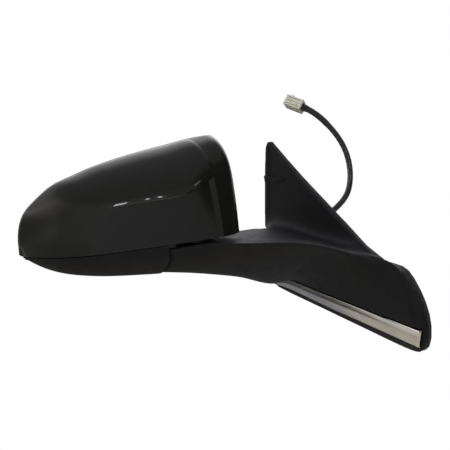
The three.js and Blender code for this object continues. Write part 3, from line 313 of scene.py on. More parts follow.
def prism(name, outline, w0, w1, axis, **kw):
    """Straight prism on a 2-D outline: 'x' maps to (w, a, b), 'y' to (a, w, b), 'z' to (a, b, w)."""
    o = np.asarray(outline, float)
    n = len(o)

    def place(w):
        c = np.full(n, w)
        return {"x": np.stack([c, o[:, 0], o[:, 1]], 1), "y": np.stack([o[:, 0], c, o[:, 1]], 1), "z": np.stack([o[:, 0], o[:, 1], c], 1)}[axis]

    V = np.vstack([place(w0), place(w1)])
    F = [[i, (i + 1) % n, n + (i + 1) % n, n + i] for i in range(n)] + [list(range(n))[::-1], list(range(n, 2 * n))]
    return build(name, V, F, **kw)


def rounded_prism(name, outline, w0, w1, axis, r0=0.0, r1=0.0, seg=5, **kw):
    """Prism with a quarter-round edge at w0 (r0) and at w1 (r1)."""
    o = np.asarray(outline, float)
    sgn = 1 if w1 > w0 else -1
    rings = []
    if r0:
        rings = [(w0 + sgn * r0 * (1 - math.sin(math.pi / 2 * (seg - k) / seg)), r0 * (1 - math.cos(math.pi / 2 * (seg - k) / seg))) for k in range(seg)]
    rings.append((w0 + sgn * r0, 0))
    rings.append((w1 - sgn * r1, 0))
    if r1:
        rings += [(w1 - sgn * r1 * (1 - math.sin(math.pi / 2 * (k + 1) / seg)), r1 * (1 - math.cos(math.pi / 2 * (k + 1) / seg))) for k in range(seg)]
    R = []
    for w, ins in rings:
        p = offset2(o, ins) if ins > 0 else o
        c = np.full(len(p), w)
        R.append({"x": np.stack([c, p[:, 0], p[:, 1]], 1), "y": np.stack([p[:, 0], c, p[:, 1]], 1), "z": np.stack([p[:, 0], p[:, 1], c], 1)}[axis])
    R = np.asarray(R)
    n, m = R.shape[:2]
    F = grid_faces(n, m, close_v=True) + [list(range(m))[::-1], list(range((n - 1) * m, n * m))]
    return build(name, R.reshape(-1, 3), F, **kw)


def ring_solid(name, outer, inner, w0, w1, axis, round_=0.4, **kw):
    """Flat ring between two outlines of the same number of points, edges rounded."""
    sgn = 1 if w1 > w0 else -1
    seg = 3
    prof = [(outer, w0 + sgn * round_ * (1 - math.sin(math.pi / 2 * k / seg)), round_ * (1 - math.cos(math.pi / 2 * k / seg)), 1) for k in range(seg, -1, -1)]
    prof += [(outer, w1 - sgn * round_ * (1 - math.sin(math.pi / 2 * k / seg)), round_ * (1 - math.cos(math.pi / 2 * k / seg)), 1) for k in range(seg + 1)]
    prof += [(inner, w1 - sgn * round_ * (1 - math.sin(math.pi / 2 * k / seg)), round_ * (1 - math.cos(math.pi / 2 * k / seg)), -1) for k in range(seg, -1, -1)]
    prof += [(inner, w0 + sgn * round_ * (1 - math.sin(math.pi / 2 * k / seg)), round_ * (1 - math.cos(math.pi / 2 * k / seg)), -1) for k in range(seg + 1)]
    R = []
    for o, w, ins, s in prof:
        p = offset2(np.asarray(o, float), ins * s)
        c = np.full(len(p), w)
        R.append({"x": np.stack([c, p[:, 0], p[:, 1]], 1), "y": np.stack([p[:, 0], c, p[:, 1]], 1), "z": np.stack([p[:, 0], p[:, 1], c], 1)}[axis])
    R = np.asarray(R)
    n, m = R.shape[:2]
    return build(name, R.reshape(-1, 3), grid_faces(n, m, close_u=True, close_v=True), **kw)


def lathe(name, profile, at, axis, seg=48, closed=True, **kw):
    """Turned solid: profile is (radius, height) pairs; closed joins the last to the first."""
    p = np.asarray(profile, float)
    a = np.linspace(0, 2 * math.pi, seg, endpoint=False)
    R = []
    for r, h in p:
        c, s, w = r * np.cos(a), r * np.sin(a), np.full(seg, h)
        R.append({"z": np.stack([c, s, w], 1), "x": np.stack([w, c, s], 1), "y": np.stack([s, w, c], 1)}[axis] + np.asarray(at, float))
    R = np.asarray(R)
    n, m = R.shape[:2]
    return build(name, R.reshape(-1, 3), grid_faces(n, m, close_u=closed, close_v=True), **kw)


def tube_frames(P):
    """Tangents and a steady pair of normals along a polyline."""
    T = np.gradient(P, axis=0)
    T /= np.linalg.norm(T, axis=1)[:, None]
    n = np.cross(T[0], [0, 0, 1.0])
    if np.linalg.norm(n) < 1e-3:
        n = np.cross(T[0], [0, 1.0, 0])
    n /= np.linalg.norm(n)
    N = [n]
    for k in range(1, len(P)):
        n = n - T[k] * np.dot(n, T[k])
        n /= np.linalg.norm(n)
        N.append(n)
    N = np.array(N)
    return T, N, np.cross(T, N)


def tube(name, P, radius, sides=24, **kw):
    """Round tube along P; radius is a number or a function of (index, angle) arrays."""
    P = np.asarray(P, float)
    T, N, B = tube_frames(P)
    a = np.linspace(0, 2 * math.pi, sides, endpoint=False)
    i = np.arange(len(P))
    r = radius(i[:, None], a[None, :]) if callable(radius) else np.full((len(P), sides), float(radius))
    R = P[:, None] + r[..., None] * (np.cos(a)[None, :, None] * N[:, None] + np.sin(a)[None, :, None] * B[:, None])
    return loft(name, R, **kw)


def box_verts(x0, x1, y0, y1, z0, z1):
    V = [[x, y, z] for x in (x0, x1) for y in (y0, y1) for z in (z0, z1)]
    F = [[0, 1, 3, 2], [4, 6, 7, 5], [0, 4, 5, 1], [2, 3, 7, 6], [0, 2, 6, 4], [1, 5, 7, 3]]
    return V, F


def box(name, x0, x1, y0, y1, z0, z1, **kw):
    V, F = box_verts(x0, x1, y0, y1, z0, z1)
    return build(name, V, F, **kw)


def evaluated(ob):
    """Replaces an object's mesh by its modified one."""
    dg = bpy.context.evaluated_depsgraph_get()
    me = bpy.data.meshes.new_from_object(ob.evaluated_get(dg))
    ob.modifiers.clear()
    old = ob.data
    ob.data = me
    bpy.data.meshes.remove(old)
    return ob


def boolean(ob, *others, op="DIFFERENCE", drop=True):
    for k, o in enumerate(others):
        m = ob.modifiers.new(f"b{k}", "BOOLEAN")
        m.solver = "MANIFOLD"
        m.operation = op
        m.object = o
    evaluated(ob)
    if drop:
        for o in others:
            bpy.data.objects.remove(o, do_unlink=True)
    return ob


def join_into(ob, *others):
    """Adds the others' faces to ob without cleaning where they cross."""
    bm = bmesh.new()
    bm.from_mesh(ob.data)
    for o in others:
        bm.from_mesh(o.data)
    bm.to_mesh(ob.data)
    bm.free()
    for o in others:
        bpy.data.objects.remove(o, do_unlink=True)
    return ob


def remesh(ob, voxel):
    m = ob.modifiers.new("r", "REMESH")
    m.mode = "VOXEL"
    m.voxel_size = voxel / 1000
    m.adaptivity = 0
    return evaluated(ob)


def coords(ob):
    a = np.empty(len(ob.data.vertices) * 3)
    ob.data.vertices.foreach_get("co", a)
    return a.reshape(-1, 3) * 1000


def set_coords(ob, P):
    ob.data.vertices.foreach_set("co", (np.asarray(P) / 1000).ravel())
    ob.data.update()


def relax(ob, rounds, weight=None, factor=0.5):
    """Laplacian smoothing, with an optional weight per vertex from a function of the millimetre coordinates."""
    P = coords(ob)
    ne = len(ob.data.edges)
    E = np.empty(ne * 2, dtype=np.int64)
    ob.data.edges.foreach_get("vertices", E)
    E = E.reshape(-1, 2)
    w = np.full(len(P), factor) if weight is None else factor * np.clip(weight(P), 0, 1)
    on = w > 1e-4
    E = E[on[E[:, 0]] | on[E[:, 1]]]
    used, flat = np.unique(E, return_inverse=True)
    E = flat.reshape(-1, 2)
    Q, w = P[used], w[used][:, None]
    n = len(Q)
    deg = np.maximum(1, np.bincount(E[:, 0], minlength=n) + np.bincount(E[:, 1], minlength=n))[:, None]
    for _ in range(rounds):
        S = np.stack([np.bincount(E[:, 0], Q[E[:, 1], k], n) + np.bincount(E[:, 1], Q[E[:, 0], k], n) for k in range(3)], 1)
        Q = Q + w * (S / deg - Q)
    P[used] = Q
    set_coords(ob, P)
    return ob


def relax_far(ob, voxel, rounds, weight, factor=0.6):
    """Smooths a coarse copy, so that a wide fillet is cheap, and carries the move back to the fine mesh."""
    c = bpy.data.objects.new("coarse", ob.data.copy())
    bpy.context.scene.collection.objects.link(c)
    remesh(c, voxel)
    A = coords(c)
    relax(c, rounds, weight, factor)
    D = coords(c) - A
    bpy.data.objects.remove(c, do_unlink=True)
    near = np.nonzero((weight(A) > 0) | (np.abs(D).sum(1) > 0))[0]
    rest = np.nonzero(weight(A) <= 0)[0]
    pool = np.concatenate([near, rest])
    tree = KDTree(len(pool))
    for k in pool:
        tree.insert(Vector(A[k]), int(k))
    tree.balance()
    P = coords(ob)
    for k in np.nonzero(weight(P) > 0)[0]:
        got = tree.find_n(Vector(P[k]), 8)
        w = np.array([1.0 / (d * d + 0.15) for _, _, d in got])
        P[k] += (w[:, None] * D[[g for _, g, _ in got]]).sum(0) / w.sum()
    set_coords(ob, P)
    return ob


def inside_distance(P, outline):
    """Signed distance of 2-D points to a closed outline, positive inside."""
    A = np.asarray(outline, float)
    B = np.roll(A, -1, axis=0)
    out = np.full(len(P), 1e9)
    odd = np.zeros(len(P), bool)
    for a, b in zip(A, B):
        d = b - a
        t = np.clip(((P - a) @ d) / max(1e-12, d @ d), 0, 1)
        out = np.minimum(out, np.hypot(*(P - a - t[:, None] * d).T))
        cross = (a[1] > P[:, 1]) != (b[1] > P[:, 1])
        x = a[0] + (P[:, 1] - a[1]) * d[0] / (d[1] if abs(d[1]) > 1e-12 else 1e-12)
        odd ^= cross & (P[:, 0] < x)
    return np.where(odd, out, -out)


def shade(ob, angle=35):
    bm = bmesh.new()
    bm.from_mesh(ob.data)
    tidy(bm, angle)
    bm.to_mesh(ob.data)
    bm.free()
    return ob


def smoothstep(a, b, x):
    t = np.clip((np.asarray(x, float) - a) / (b - a), 0, 1)
    return t * t * (3 - 2 * t)


# ------------------------------------------------------------------ materials
class Nodes:
    def __init__(self, name):
        self.m = bpy.data.materials.new(name)
        self.m.use_nodes = True
        self.t = self.m.node_tree
        self.t.nodes.clear()
        self.out = self.t.nodes.new("ShaderNodeOutputMaterial")
        self.bsdf = self.t.nodes.new("ShaderNodeBsdfPrincipled")
        self.t.links.new(self.bsdf.outputs[0], self.out.inputs[0])
        self.coord = self.t.nodes.new("ShaderNodeTexCoord").outputs["Object"]
        self.geo = self.t.nodes.new("ShaderNodeNewGeometry")

    def link(self, a, b):
        self.t.links.new(a, b)

    def set(self, **kw):
        for k, v in kw.items():
            self.bsdf.inputs[k.replace("_", " ")].default_value = v

    def mapping(self, scale):
        n = self.t.nodes.new("ShaderNodeMapping")
        n.inputs["Scale"].default_value = scale
        self.link(self.coord, n.inputs[0])
        return n.outputs[0]

    def noise(self, scale, detail=3, rough=0.5, vector=None):
        n = self.t.nodes.new("ShaderNodeTexNoise")
        n.inputs["Scale"].default_value = scale
        n.inputs["Detail"].default_value = detail
        n.inputs["Roughness"].default_value = rough
        self.link(vector or self.coord, n.inputs["Vector"])
        return n.outputs[0]

    def voronoi(self, scale, feature="SMOOTH_F1"):
        n = self.t.nodes.new("ShaderNodeTexVoronoi")
        n.feature = feature
        n.inputs["Scale"].default_value = scale
        self.link(self.coord, n.inputs["Vector"])
        return n.outputs["Distance"]

    def wave(self, scale, direction="X", distortion=0.0, profile="SIN"):
        n = self.t.nodes.new("ShaderNodeTexWave")
        n.bands_direction = direction
        n.wave_profile = profile
        n.inputs["Scale"].default_value = scale
        n.inputs["Distortion"].default_value = distortion
        self.link(self.coord, n.inputs["Vector"])
        return n.outputs["Fac"]

    def rng(self, x, a, b, c, d):
        n = self.t.nodes.new("ShaderNodeMapRange")
        for k, v in zip(("From Min", "From Max", "To Min", "To Max"), (a, b, c, d)):
            n.inputs[k].default_value = v
        self.link(x, n.inputs["Value"])
        return n.outputs[0]

    def math(self, op, a, b):
        n = self.t.nodes.new("ShaderNodeMath")
        n.operation = op
        for k, v in enumerate((a, b)):
            if isinstance(v, (int, float)):
                n.inputs[k].default_value = v
            else:
                self.link(v, n.inputs[k])
        return n.outputs[0]

    def mix(self, fac, a, b):
        n = self.t.nodes.new("ShaderNodeMix")
        n.data_type = "RGBA"
        for v, i in ((fac, n.inputs[0]), (a, n.inputs[6]), (b, n.inputs[7])):
            if isinstance(v, (int, float)):
                i.default_value = v
            elif isinstance(v, (tuple, list)):
                i.default_value = (*v[:3], 1)
            else:
                self.link(v, i)
        return n.outputs[2]

    def bump(self, height, strength, distance, prior=None):
        n = self.t.nodes.new("ShaderNodeBump")
        n.inputs["Strength"].default_value = strength
        n.inputs["Distance"].default_value = distance
        self.link(height, n.inputs["Height"])
        if prior is not None:
            self.link(prior, n.inputs["Normal"])
        return n.outputs[0]

    def edge(self, lo=0.52, hi=0.62):
        return self.rng(self.geo.outputs["Pointiness"], lo, hi, 0, 1)


MATS = {}


def gloss_black():
    n = Nodes("gloss_black")
    base = n.mix(n.noise(9, 2), (0.0060, 0.0060, 0.0052), (0.0078, 0.0078, 0.0068))
    n.link(base, n.bsdf.inputs["Base Color"])
    haze = n.rng(n.noise(70, 4, 0.6), 0.35, 0.75, 0.16, 0.24)
    n.link(haze, n.bsdf.inputs["Roughness"])
    n.set(Coat_Weight=1.0, Coat_Roughness=0.03, Coat_IOR=1.5, IOR=1.45, Specular_IOR_Level=0.08)
    peel = n.bump(n.noise(420, 1.5, 0.4), 0.05, 0.00012)
    n.link(peel, n.bsdf.inputs["Coat Normal"])
    return n.m


def moulded(name, dark, light, rough=(0.42, 0.6), grain=2600, strength=0.35, distance=0.00006, edge_highlight=0.35, spec=0.45):
    """Grained injection-moulded plastic: fine leather grain, soft sheen changes, a painted highlight along the sharp
    edges.
    """
    n = Nodes(name)
    broad = n.noise(28, 3, 0.55)
    tone = n.mix(n.rng(broad, 0.3, 0.7, 0, 1), dark, light)
    # painted highlight: the base colour is lightened on sharp convex edges
    tone = n.mix(n.math("MULTIPLY", n.edge(), edge_highlight), tone, tuple(min(1, c * 2.6 + 0.01) for c in light))
    n.link(tone, n.bsdf.inputs["Base Color"])
    r = n.rng(n.noise(110, 4, 0.6), 0.3, 0.7, rough[0], rough[1])
    n.link(r, n.bsdf.inputs["Roughness"])
    n.set(Specular_IOR_Level=spec)
    a = n.bump(n.voronoi(grain), strength, distance)
    b = n.bump(n.noise(grain * 2.3, 3, 0.6), strength * 0.6, distance * 0.6, a)
    n.link(b, n.bsdf.inputs["Normal"])
    return n.m


def metal(name, dark, light, rough=(0.25, 0.45), scale=600, strength=0.2, distance=0.00004, edge_highlight=0.4, stretch=(1, 1, 1), metallic=1.0):
    n = Nodes(name)
    v = n.mapping(stretch)
    tone = n.mix(n.rng(n.noise(60, 4, 0.6), 0.3, 0.7, 0, 1), dark, light)
    # painted highlight: the base colour is lightened on sharp convex edges
    tone = n.mix(n.math("MULTIPLY", n.edge(), edge_highlight), tone, tuple(min(1, c * 1.35) for c in light))
    n.link(tone, n.bsdf.inputs["Base Color"])
    n.set(Metallic=metallic)
    r = n.rng(n.noise(scale, 4, 0.6, v), 0.3, 0.7, rough[0], rough[1])
    n.link(r, n.bsdf.inputs["Roughness"])
    n.link(n.bump(n.noise(scale, 4, 0.65, v), strength, distance), n.bsdf.inputs["Normal"])
    return n.m


def rubber(name="rubber", base=0.012, rough=(0.6, 0.8)):
    n = Nodes(name)
    tone = n.mix(n.rng(n.noise(90, 4, 0.6), 0.35, 0.7, 0, 1), (base, base, base), (base * 1.7, base * 1.7, base * 1.65))
    n.link(tone, n.bsdf.inputs["Base Color"])
    n.link(n.rng(n.noise(240, 3, 0.6), 0.3, 0.7, *rough), n.bsdf.inputs["Roughness"])
    n.link(n.bump(n.noise(1800, 3, 0.6), 0.25, 0.00006), n.bsdf.inputs["Normal"])
    return n.m


def cable_sheath():
    n = Nodes("cable_sheath")
    tone = n.mix(n.rng(n.noise(120, 3), 0.35, 0.7, 0, 1), (0.008, 0.008, 0.008), (0.016, 0.016, 0.016))
    n.link(tone, n.bsdf.inputs["Base Color"])
    n.link(n.rng(n.noise(300, 3, 0.6), 0.3, 0.7, 0.2, 0.3), n.bsdf.inputs["Roughness"])
    n.set(Specular_IOR_Level=0.6)
    n.link(n.bump(n.noise(160, 2, 0.5), 0.08, 0.00004), n.bsdf.inputs["Normal"])
    return n.m


def chrome():
    n = Nodes("bright_moulding")
    v = n.mapping((1, 0.05, 1))
    tone = n.mix(n.rng(n.noise(40, 3), 0.3, 0.7, 0, 1), (0.50, 0.49, 0.475), (0.58, 0.57, 0.55))
    n.link(tone, n.bsdf.inputs["Base Color"])
    n.set(Metallic=1.0)
    n.link(n.rng(n.noise(900, 4, 0.6, v), 0.3, 0.7, 0.06, 0.12), n.bsdf.inputs["Roughness"])
    n.link(n.bump(n.noise(1500, 3, 0.6, v), 0.06, 0.00003), n.bsdf.inputs["Normal"])
    return n.m


def nylon(name, a, b, rough=(0.38, 0.55)):
    n = Nodes(name)
    tone = n.mix(n.rng(n.noise(130, 3, 0.6), 0.3, 0.7, 0, 1), a, b)
    # painted highlight: the base colour is lightened on sharp convex edges
    tone = n.mix(n.math("MULTIPLY", n.edge(0.53, 0.66), 0.35), tone, tuple(min(1, c * 1.15) for c in b))
    n.link(tone, n.bsdf.inputs["Base Color"])
    n.link(n.rng(n.noise(300, 3, 0.6), 0.3, 0.7, *rough), n.bsdf.inputs["Roughness"])
    n.link(n.bump(n.noise(900, 3, 0.6), 0.06, 0.00002), n.bsdf.inputs["Normal"])
    return n.m


def mirror_glass():
    n = Nodes("mirror_glass")
    n.set(Metallic=1.0, Coat_Weight=1.0, Coat_Roughness=0.0)
    tone = n.mix(n.noise(6, 2), (0.66, 0.70, 0.72), (0.70, 0.74, 0.76))
    n.link(tone, n.bsdf.inputs["Base Color"])
    n.link(n.rng(n.noise(90, 4, 0.6), 0.4, 0.8, 0.012, 0.045), n.bsdf.inputs["Roughness"])
    return n.m


def foil():
    n = Nodes("heater_foil")
    lines = n.wave(95, "Z", 0.0)
    tone = n.mix(n.rng(lines, 0.45, 0.55, 0, 1), (0.42, 0.17, 0.04), (0.62, 0.33, 0.1))
    n.link(tone, n.bsdf.inputs["Base Color"])
    n.set(Roughness=0.42, Metallic=0.3)
    n.link(n.bump(lines, 0.3, 0.0001), n.bsdf.inputs["Normal"])
    return n.m


MATS["gloss"] = gloss_black()
MATS["matte"] = moulded("grained_black", (0.0060, 0.0063, 0.0074), (0.0086, 0.0090, 0.0104), rough=(0.52, 0.66), spec=0.2)
MATS["black"] = moulded("frame_black", (0.0060, 0.0060, 0.0064), (0.0090, 0.0090, 0.0095), rough=(0.45, 0.6), grain=1800, spec=0.35)
MATS["rubber"] = rubber()
MATS["cable"] = cable_sheath()
MATS["tape"] = rubber("cloth_tape", 0.011, (0.45, 0.6))
MATS["chrome"] = chrome()
MATS["cast"] = metal("die_cast", (0.36, 0.37, 0.38), (0.50, 0.51, 0.52), rough=(0.42, 0.62), scale=900, strength=0.5, distance=0.0001)
MATS["steel"] = metal("steel", (0.42, 0.43, 0.44), (0.55, 0.56, 0.57), rough=(0.25, 0.42), stretch=(1, 1, 0.15), scale=700)
MATS["zinc"] = metal("zinc_plate", (0.50, 0.50, 0.46), (0.66, 0.65, 0.58), rough=(0.28, 0.5), scale=420)
MATS["mirror"] = mirror_glass()
MATS["natural"] = nylon("natural_nylon", (0.47, 0.465, 0.385), (0.56, 0.555, 0.465))
MATS["grey"] = moulded("grey_plastic", (0.085, 0.088, 0.092), (0.12, 0.123, 0.128), rough=(0.45, 0.62), grain=1500, edge_highlight=0.2)
MATS["foil"] = foil()
MATS["white"] = nylon("acetal", (0.70, 0.70, 0.66), (0.76, 0.76, 0.72), rough=(0.3, 0.42))


def dress(ob, mat, body, *nodes, slot=None):
    ob.data.materials.clear()
    ob.data.materials.append(MATS[mat])
    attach(ob, body)
    if nodes:
        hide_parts(*nodes)
    return ob


BODY_OF = {n: o.parent.name.split(":", 1)[-1] for n, o in frame["nodes"].items()}


def refine(node, mat, bevel=0.35, angle=32, bevel_angle=38, segments=2, name=None):
    """A dressed copy of a CAD node: welded, its edges rounded, smooth where it is round."""
    src = frame["nodes"][node]
    V = np.array([v.co for v in src.data.vertices]) * 1000
    F = [list(p.vertices) for p in src.data.polygons]
    me = bpy.data.meshes.new(name or node + ".fine")
    me.from_pydata((V / 1000).tolist(), [], F)
    ob = bpy.data.objects.new(name or node + ".fine", me)
    bpy.context.scene.collection.objects.link(ob)
    bm = bmesh.new()
    bm.from_mesh(me)
    bmesh.ops.remove_doubles(bm, verts=bm.verts[:], dist=2e-6)
    bmesh.ops.dissolve_limit(bm, angle_limit=math.radians(1.0), verts=bm.verts[:], edges=bm.edges[:])
    if bevel:
        bmesh.ops.recalc_face_normals(bm, faces=bm.faces[:])
        lim = math.radians(bevel_angle)
        edges = [e for e in bm.edges if len(e.link_faces) == 2 and e.calc_face_angle(0) > lim]
        bmesh.ops.bevel(bm, geom=edges, offset=bevel / 1000, segments=segments, profile=0.5, affect="EDGES", clamp_overlap=True)
    bmesh.ops.triangulate(bm, faces=[f for f in bm.faces if len(f.verts) > 4])
    tidy(bm, angle)
    bm.to_mesh(me)
    bm.free()
    if bevel:
        mod = ob.modifiers.new("weighted", "WEIGHTED_NORMAL")
        mod.keep_sharp = True
        mod.weight = 80
        evaluated(ob)
    dress(ob, mat, BODY_OF[node], node)
    return ob


# ------------------------------------------------------------------ cap cover
def cap_surface(nu=300, nv=60, nl=46):
    T = np.array([[r[0][0], RIM_D, r[0][1]] for r in RIBS])
    K = np.array([r[1] for r in RIBS], float)
    S = np.array([[r[2][0], r[2][1], seam_z(r[2][0])] for r in RIBS])
    knots = chords(T, K, S)
    rib = np.interp(np.linspace(0.45, 17.62, nu), np.arange(19), knots)
    ribno = np.interp(rib, knots, np.arange(19))
    T, K, S = (cubic(knots, a, rib) for a in (T, K, S))
    S[:, 2] = seam_z(S[:, 0])
    u = ribno / 18
    dd, dz = (K[:, 1] - T[:, 1])[:, None], (T[:, 2] - K[:, 2])[:, None]
    c1 = np.hstack([lerp(T[:, :1], K[:, :1], 0.4), T[:, 1:2] + 0.45 * dd, T[:, 2:] - 0.1 * dz])
    c2 = np.hstack([lerp(T[:, :1], K[:, :1], 0.85), K[:, 1:2] - 0.12 * dd, K[:, 2:] + 0.4 * dz])
    side = smoothstep(0.27, 0.21, u)[:, None]
    l1, l2 = lerp(T, K, 1 / 3), lerp(T, K, 2 / 3)
    a, b = lerp(c1, l1, side), lerp(c2, l2, side)
    v = np.linspace(0, 1, nv) ** 1.0
    # denser next to the crease
    v = 1 - (1 - v) ** 1.35
    rows = []
    for x in v:
        w = 1 - x
        rows.append(w ** 3 * T + 3 * w * w * x * a + 3 * w * x * x * b + x ** 3 * K)
    low = []
    t = np.linspace(0, 1, nl + 1)[1:] ** 1.6
    for x in t:
        bulge = 2.2 * 4 * x * (1 - x) * np.minimum(1, (S[:, 1] - 2) / 40)
        p = lerp(K, S, x)
        p[:, 1] += bulge
        low.append(p)
    P = np.stack(rows + low, 1)
    P[..., 1] = np.maximum(RIM_D, P[..., 1])
    # the crease lives on the front only: round it away towards the inboard corner and the outboard end
    width = 9.0 * smoothstep(7.05, 6.6, ribno) + 6.0 * smoothstep(11.6, 14.2, ribno)
    for i in range(len(P)):
        P[i] = soften(P[i], width[i])
    return P, ribno, nv, t


def soften(curve, sigma, step=0.5):
    """Rounds a polyline over about sigma, ends kept."""
    if sigma < 0.3:
        return curve
    L = np.concatenate([[0], np.cumsum(np.linalg.norm(np.diff(curve, axis=0), axis=1))])
    if L[-1] < 4:
        return curve
    at = np.linspace(0, L[-1], max(8, int(L[-1] / step)))
    C = np.stack([np.interp(at, L, curve[:, k]) for k in range(3)], 1)
    h = at[1] - at[0]
    sigma = min(sigma, L[-1] / 7)
    w = min(len(C) - 2, int(3 * sigma / h))
    k = np.exp(-0.5 * (np.arange(-w, w + 1) * h / sigma) ** 2)
    k /= k.sum()
    pad0 = 2 * C[0] - C[w:0:-1]
    pad1 = 2 * C[-1] - C[-2 : -w - 2 : -1]
    E = np.vstack([pad0, C, pad1])
    S = np.stack([np.convolve(E[:, c], k, "valid") for c in range(3)], 1)
    return np.stack([np.interp(L, at, S[:, c]) for c in range(3)], 1)


def grid_normals(P):
    du = np.gradient(P, axis=0)
    dv = np.gradient(P, axis=1)
    n = np.cross(du, dv)
    n /= np.maximum(1e-9, np.linalg.norm(n, axis=2))[..., None]
    i, j = P.shape[0] // 2, P.shape[1] // 4
    if n[i, j, 1] < 0:
        n = -n
    return n


def make_cap():
    P, rib, nv, t = cap_surface()
    N = grid_normals(P)
    # ledge: below the crease the wall steps in, most in the middle of the front, gone towards the outboard end
    h = 1.6 * smoothstep(6.8, 7.35, rib) * (1 - smoothstep(9.6, 13.6, rib))
    span = np.linalg.norm(P[:, -1] - P[:, nv - 1], axis=1)
    low = np.concatenate([[0.0], t])
    for j, x in enumerate(low):
        dist = x * span
        step = smoothstep(0.0, 1.3, dist) * lerp(1.0, 0.3, x)
        P[:, nv - 1 + j] -= N[:, nv - 1 + j] * (h * step)[:, None]
    # soften the crease itself
    for _ in range(2):
        Q = P.copy()
        k = slice(nv - 3, nv + 2)
        Q[:, k] = 0.5 * P[:, k] + 0.25 * (P[:, nv - 4 : nv + 1] + P[:, nv - 2 : nv + 3])
        P = Q
    base, _, _, _ = cap_surface()
    inner = base - N * CAP_WALL
    inner[:, 0, 1] = RIM_D
    inner[..., 1] = np.maximum(RIM_D, inner[..., 1])
    inner[:, -1, 2] = seam_z(inner[:, -1, 0])
    n, m = P.shape[:2]
    V = np.vstack([P.reshape(-1, 3), inner.reshape(-1, 3)])
    k = n * m
    F = grid_faces(n, m) + grid_faces(n, m, base=k, flip=True)
    for i in range(n - 1):
        F.append([i * m, k + i * m, k + (i + 1) * m, (i + 1) * m])
        F.append([i * m + m - 1, (i + 1) * m + m - 1, k + (i + 1) * m + m - 1, k + i * m + m - 1])
    for j in range(m - 1):
        F.append([j, j + 1, k + j + 1, k + j])
        F.append([(n - 1) * m + j, k + (n - 1) * m + j, k + (n - 1) * m + j + 1, (n - 1) * m + j + 1])
    ob = build("cap_shell", V, F, angle=50, bevel=0.55, bevel_angle=60, segments=3, local=True)
    return dress(ob, "gloss", "head", "cap_cover")


def make_seam_lip():
    """Upstand inside the seam between the cap and the lower cover."""
    P, rib, nv, t = cap_surface(300, 12, 8)
    keep = (rib > 9.4) & (rib < 17.2)
    S = P[keep, -1][:, :2]
    T = np.gradient(S, axis=0)
    T /= np.linalg.norm(T, axis=1)[:, None]
    N = np.stack([-T[:, 1], T[:, 0]], 1)
    if (N[len(N) // 2] * (np.array([118, 30]) - S[len(S) // 2])).sum() < 0:
        N = -N
    z = seam_z(S[:, 0])
    ring = []
    for off, dz in ((2.5, -3.6), (2.5, 2.6), (2.8, 3.0), (3.5, 3.0), (3.7, 2.6), (3.7, -3.6)):
        Q = S + N * off
        ring.append(np.stack([Q[:, 0], np.maximum(Q[:, 1], 2.6), z + dz], 1))
    ob = loft("seam_upstand", np.stack(ring, 1), angle=40, local=True)
    return dress(ob, "black", "head")


make_cap()
make_seam_lip()


# ------------------------------------------------------------------ seam cone and fold clearance
def cone(extra, z0, z1, seg=160):
    k = (46 - 42) / (29 - 3)
    a = np.linspace(0, 2 * math.pi, seg, endpoint=False)
    R = []
    for z in (z0, z1):
        r = 42 + k * (z - 3) + extra
        R.append(np.stack([PIVOT[0] + r * np.cos(a), PIVOT[1] + r * np.sin(a), np.full(seg, z)], 1))
    return loft("cone", R)


def wedge(extra):
    R = 46.9 + extra
    a, d = math.radians(90 + FOLD_REAR + 2), math.radians(FOLD_REAR + 2)
    T = [PIVOT[0] + R * math.cos(a), PIVOT[1] + R * math.sin(a)]
    F = [T[0] + 160 * math.cos(d), T[1] + 160 * math.sin(d)]
    return prism("wedge", [[PIVOT[0], PIVOT[1]], T, F, [150, F[1]], [150, -200], [PIVOT[0] + 5, -200]], -40, 60, "z")


def half_space(x0, x1, y0=-260, y1=160, z0=-120, z1=200):
    return box("keep", x0, x1, y0, y1, z0, z1)


# ------------------------------------------------------------------ lower cover
def belly_rings(t, n=110):
    S = np.array([b[0] for b in BELLY], float)
    B = np.array([b[1] for b in BELLY], float)
    K = np.array([b[2] for b in BELLY], float)
    knots = chords(np.hstack([S, B]), np.hstack([B, K]))
    at = np.linspace(0, 1, n)
    if t:
        at = at * 0.94
    S, B, K = (cubic(knots, a, at) for a in (S, B, K))
    rings = []
    for s, b, k in zip(S, B, K):
        top = seam_z(s[0]) - SEAM_GAP
        p = np.array([
            [s[0], s[1] - t, top],
            [lerp(s[0], b[0], 0.1), lerp(s[1], k[0], 0.05) - t, lerp(top, k[1], 0.42)],
            [lerp(s[0], b[0], 0.2), lerp(s[1], k[0], 0.3) - t * 0.8, lerp(top, k[1], 0.78) + t * 0.6],
            [lerp(s[0], b[0], 0.35), lerp(s[1], k[0], 0.66), lerp(top, k[1], 0.96) + t],
            [lerp(s[0], b[0], 0.6), k[0] * 0.8, k[1] + t],
            [lerp(s[0], b[0], 0.8), lerp(k[0], RIM_D, 0.6), lerp(k[1], b[1], 0.45) + t],
            [b[0], RIM_D - (6 if t else 0), b[1] + t],
        ])
        fine = cubic(np.arange(7), p, np.linspace(0, 6, 37))
        head = [[s[0], s[1] - t, top + (8 if t else 0)]] if t else []
        tail = [[b[0], RIM_D - (6 if t else 0), max(top, b[1]) + (8 if t else 0)]]
        rings.append(np.vstack([np.array(head).reshape(-1, 3), fine, tail]))
    return np.array(rings)


def make_lower():
    ob = loft("lower_shell", belly_rings(0), local=True)
    boolean(ob, cone(SEAM_GAP, -30, 60), wedge(0))
    remesh(ob, 0.8)
    relax(ob, 5)
    inner = loft("inner", belly_rings(WALL), local=True)
    boolean(inner, cone(SEAM_GAP + WALL, -30, 60), wedge(WALL))
    boolean(ob, inner)
    biggest(ob)
    shade(ob, 40)
    return dress(ob, "matte", "head", "lower_cover")


